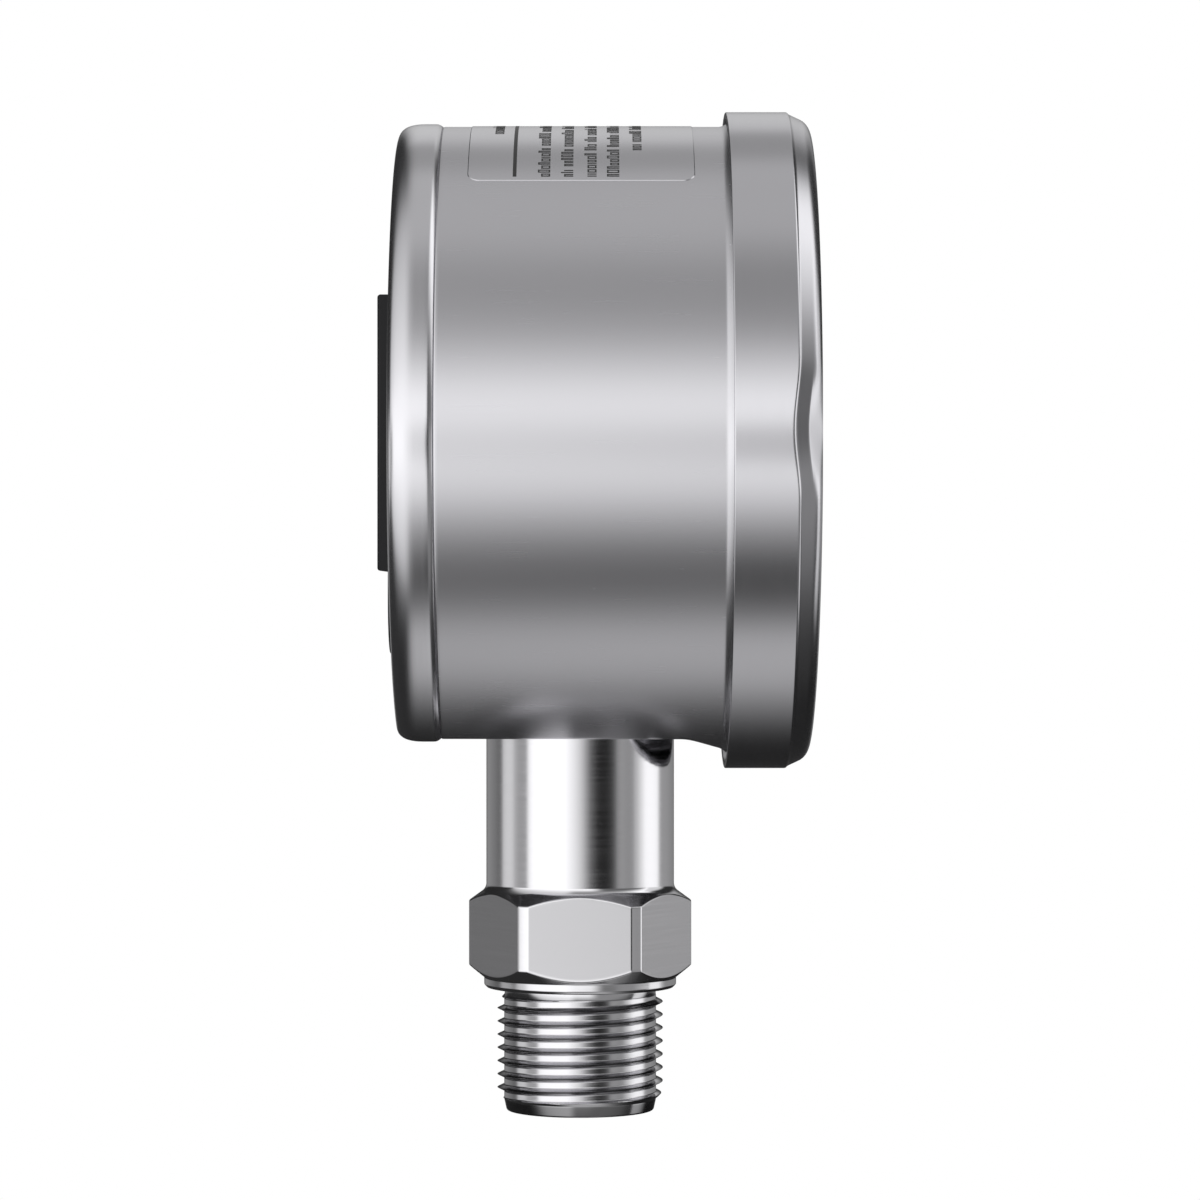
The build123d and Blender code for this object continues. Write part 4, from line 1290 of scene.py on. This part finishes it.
@dataclass
class Inside:
    """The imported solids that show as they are."""

    edge: float = 0.12
    edge_angle: float = 50.0
    weld: float = 0.002
    by_slot: ClassVar[dict[str, Finish]] = {
        finish.slot: finish
        for finish in (
            CAP_STEEL, STEM_STEEL, SMALL_STEEL, SPRING_STEEL, BLACK_PLASTIC, PANEL_PLASTIC, KEY_RUBBER,
            SEAL_RUBBER, LCD_CELL, WHITE_PLASTIC, STRIP_RUBBER, BOARD, CHIP, CAPACITOR, FLEX_FILM,
            LEAD_SLEEVE, CELL_SLEEVE, LABEL_FILM, CLEAR_LENS,
        )
    }

    def dress_all(self) -> None:
        """Dresses every node that is still shown and softens the edges of the moulded ones."""
        for row in frame["record"]["subparts"]:
            piece, finish = frame["nodes"][row["node"]], self.by_slot[row["material_slot"]]
            if piece.hide_render:
                continue
            dress(piece, finish)
            if finish in (BLACK_PLASTIC, PANEL_PLASTIC):
                self.soften(piece)
            log.info("%s: %s", row["node"], finish.name)

    def soften(self, piece: bpy.types.Object) -> None:
        """Rounds a node's outer edges a little.

        Args:
            piece: The node's object.
        """
        weld = piece.modifiers.new("weld", "WELD")
        weld.merge_threshold = self.weld * MM
        bevel = piece.modifiers.new("edges", "BEVEL")
        bevel.width = self.edge * MM
        bevel.segments = 2
        bevel.limit_method = "ANGLE"
        bevel.angle_limit = math.radians(self.edge_angle)
        bevel.harden_normals = True


@dataclass
class Studio:
    """Camera, floor, lamp and surroundings, whose levels are angles in degrees with a brightness."""

    distance: float = 531.3
    lens: float = 126.0
    sensor: float = 36.0
    along: float = -2.51
    height: float = 64.40
    floor_height: float = -0.22
    floor_radius: float = 0.55
    floor_fade: tuple[float, float] = (0.2, 0.5)
    floor_roughness: float = 0.9
    floor_glow: float = 0.12
    lamp_size: float = 0.6
    lamp_power: float = 2.0
    lamp_place: tuple[float, float, float] = (-0.6, 0.35, 0.75)
    lamp_tilt: tuple[float, float] = (-25.0, -45.0)
    plain_level: float = 0.85
    side_card: float = 0.9
    side_card_start: float = 0.78
    side_card_slope: float = -2.0
    side_card_passage: tuple[float, float] = (0.0, 0.14)
    right_passage: tuple[float, float] = (0.2, 0.5)
    left_passage: tuple[float, float] = (0.07, 0.29)
    steep_middle: float = -0.05
    steep_passage: tuple[float, float] = (0.05, 0.16)
    brightest: float = 2.0
    horizon: Levels = (
        (-180, 0.04), (-172, 0.06), (-160, 0.26), (-150, 0.29), (-130, 0.24), (-118, 0.19), (-108, 0.70),
        (-97, 0.85), (-86, 0.55), (-74, 0.42), (-66, 1.1), (-56, 1.5), (-24, 1.55), (-14, 1.35), (-4, 1.02),
        (3, 0.7), (9, 0.36), (17, 0.09), (26, 0.02), (34, 0.03), (43, 0.14), (52, 0.40), (62, 0.36),
        (72, 0.6), (82, 1.05), (95, 1.4), (108, 1.3), (120, 0.42), (132, 0.38), (150, 0.30), (164, 0.24),
        (173, 0.06), (180, 0.04),
    )
    meridian: Levels = (
        (-180, 0.03), (-150, 0.02), (-132, 0.03), (-122, 0.08), (-112, 0.2), (-101, 0.40), (-90, 0.60),
        (-80, 0.64), (-70, 0.48), (-60, 0.18), (-50, 0.08), (-39, 0.24), (-29, 0.6), (-18, 1.1), (-6, 1.4),
        (6, 1.45), (18, 1.15), (30, 0.69), (42, 0.41), (54, 0.36), (66, 0.46), (80, 0.60), (95, 0.60),
        (106, 0.62), (116, 0.42), (128, 0.40), (140, 0.75), (155, 0.68), (166, 0.35), (174, 0.06),
        (180, 0.02),
    )
    right_side: Levels = (
        (-180, 0.02), (-126, 0.013), (-106, 0.036), (-88, 0.06), (-71, 0.126), (-62, 0.19), (-51, 0.25),
        (-34, 0.32), (-18, 0.31), (-8, 0.24), (5, 0.17), (18, 0.16), (28, 0.2), (36, 0.31), (44, 0.42),
        (54, 0.65), (63, 0.92), (72, 1.15), (80, 1.3), (90, 1.5), (98, 1.5), (107, 1.25), (117, 0.5),
        (127, 0.06), (138, 0.03), (180, 0.03),
    )
    left_side: Levels = (
        (-180, 0.03), (-95, 0.03), (-75, 0.06), (-62, 0.2), (-52, 0.55), (-43, 0.85), (-30, 1.1), (0, 1.5),
        (30, 1.15), (50, 0.92), (67, 0.78), (85, 0.6), (100, 0.3), (112, 0.12), (125, 0.04), (180, 0.02),
    )

    def level(
        self, tree: bpy.types.NodeTree, angle: bpy.types.NodeSocket, stops: Levels
    ) -> bpy.types.NodeSocket:
        """Adds the curve from an angle to a brightness.

        Args:
            tree: The tree that the curve goes in.
            angle: The angle in radians.
            stops: Angles in degrees with their brightness.

        Returns:
            The brightness.
        """
        node = tree.nodes.new("ShaderNodeFloatCurve")
        node.mapping.use_clip = False
        curve = node.mapping.curves[0]
        for degrees, brightness in stops[1:-1]:
            curve.points.new((degrees + 180) / 360, brightness / self.brightest)
        curve.points[0].location = (0.0, stops[0][1] / self.brightest)
        curve.points[-1].location = (1.0, stops[-1][1] / self.brightest)
        for point in curve.points:
            point.handle_type = "AUTO_CLAMPED"
        node.mapping.update()
        fill(tree, node, {"Value": calc(tree, "MULTIPLY_ADD", angle, 1 / (2 * math.pi), 0.5)})
        return calc(tree, "MULTIPLY", node.outputs["Value"], self.brightest)

    def reflected(self, tree: bpy.types.NodeTree) -> bpy.types.NodeSocket:
        """Brightness of what metal mirrors: white cards and dark flags.

        Args:
            tree: The world's tree.

        Returns:
            The brightness.
        """
        split = add(tree, "SeparateXYZ", {"Vector": add(tree, "TexCoord")["Generated"]})
        toward = calc(tree, "MULTIPLY", split["X"], -1.0)
        right = calc(tree, "MULTIPLY", split["Y"], -1.0)
        azimuth = calc(tree, "ARCTAN2", right, toward)
        climb = calc(tree, "ARCTAN2", split["Z"], toward)
        level = self.level(tree, climb, self.meridian)
        sides = (right, self.right_passage, self.right_side), (split["Y"], self.left_passage, self.left_side)
        for side, ends, stops in sides:
            level = blend(tree, passage(tree, side, *ends), level, self.level(tree, climb, stops))
        behind = calc(tree, "MULTIPLY", toward, self.side_card_slope)
        reach = calc(tree, "MINIMUM", calc(tree, "SUBTRACT", right, self.side_card_start), behind)
        level = blend(tree, passage(tree, reach, *self.side_card_passage), level, self.side_card)
        steep = calc(tree, "ABSOLUTE", calc(tree, "SUBTRACT", split["Z"], self.steep_middle))
        flat = self.level(tree, azimuth, self.horizon)
        return blend(tree, passage(tree, steep, *self.steep_passage), flat, level)

    def world(self) -> None:
        """Builds the surroundings: plain for diffuse light, cards and flags in reflections, else white."""
        made = bpy.data.worlds.new("studio")
        bpy.context.scene.world = made
        made.use_nodes = True
        tree = made.node_tree
        tree.nodes.clear()
        rays = add(tree, "LightPath")
        plain, cards, white = (
            add(tree, "Background", {"Color": WHITE, "Strength": strength})["Background"]
            for strength in (self.plain_level, self.reflected(tree), 1.0)
        )
        glossy = add(tree, "MixShader", {"Fac": rays["Is Glossy Ray"], 1: plain, 2: cards})["Shader"]
        direct = calc(tree, "MAXIMUM", rays["Is Camera Ray"], rays["Is Transmission Ray"])
        seen = add(tree, "MixShader", {"Fac": direct, 1: glossy, 2: white})["Shader"]
        add(tree, "OutputWorld", {"Surface": seen})

    def floor(self) -> None:
        """Builds a round pale floor under the object that fades out towards its rim."""
        bpy.ops.mesh.primitive_circle_add(
            vertices=96, radius=self.floor_radius, fill_type="NGON", location=(0.0, 0.0, self.floor_height)
        )
        floor = bpy.context.object
        floor.name = "floor"
        made, tree, shader = new_material("floor")
        length = add(tree, "VectorMath", {0: add(tree, "TexCoord")["Object"]}, operation="LENGTH")["Value"]
        look = {
            "Base Color": WHITE,
            "Roughness": self.floor_roughness,
            "Specular IOR Level": 0.0,
            "Emission Color": WHITE,
            "Emission Strength": self.floor_glow,
            "Alpha": calc(tree, "SUBTRACT", 1.0, passage(tree, length, *self.floor_fade)),
        }
        fill(tree, shader, look)
        floor.data.materials.append(made)
        floor.visible_glossy = False

    def lamp(self) -> None:
        """Adds one large soft lamp over the camera's left, which metal doesn't mirror."""
        light = bpy.data.lights.new("soft lamp", "AREA")
        light.shape = "DISK"
        light.size = self.lamp_size
        light.energy = self.lamp_power
        lamp = bpy.data.objects.new("soft lamp", light)
        lamp.location = self.lamp_place
        lamp.rotation_euler = (*(math.radians(turn) for turn in self.lamp_tilt), 0.0)
        lamp.visible_glossy = False
        bpy.context.scene.collection.objects.link(lamp)

    def camera(self) -> None:
        """Sets the camera level, looking along +X at the head's left side."""
        data = bpy.data.cameras.new("camera")
        data.lens = self.lens
        data.sensor_width = self.sensor
        camera = bpy.data.objects.new("camera", data)
        camera.location = (-self.distance * MM, self.along * MM, self.height * MM)
        camera.rotation_euler = (math.radians(90), 0.0, math.radians(-90))
        bpy.context.scene.collection.objects.link(camera)
        bpy.context.scene.camera = camera

    def build(self) -> None:
        """Builds the whole studio."""
        self.world()
        self.floor()
        self.lamp()
        self.camera()
        bpy.context.scene.view_settings.view_transform = "Standard"


def main() -> None:
    """Builds the gauge's looks in order."""
    logging.basicConfig(level=logging.INFO, format="%(name)s: %(message)s")
    head = Head()
    head.case()
    head.cover()
    head.ring()
    connection = Connection()
    connection.body()
    connection.thread()
    label = Label()
    label.film()
    label.print_rows()
    Inside().dress_all()
    Studio().build()


if __name__ == "__main__":
    main()
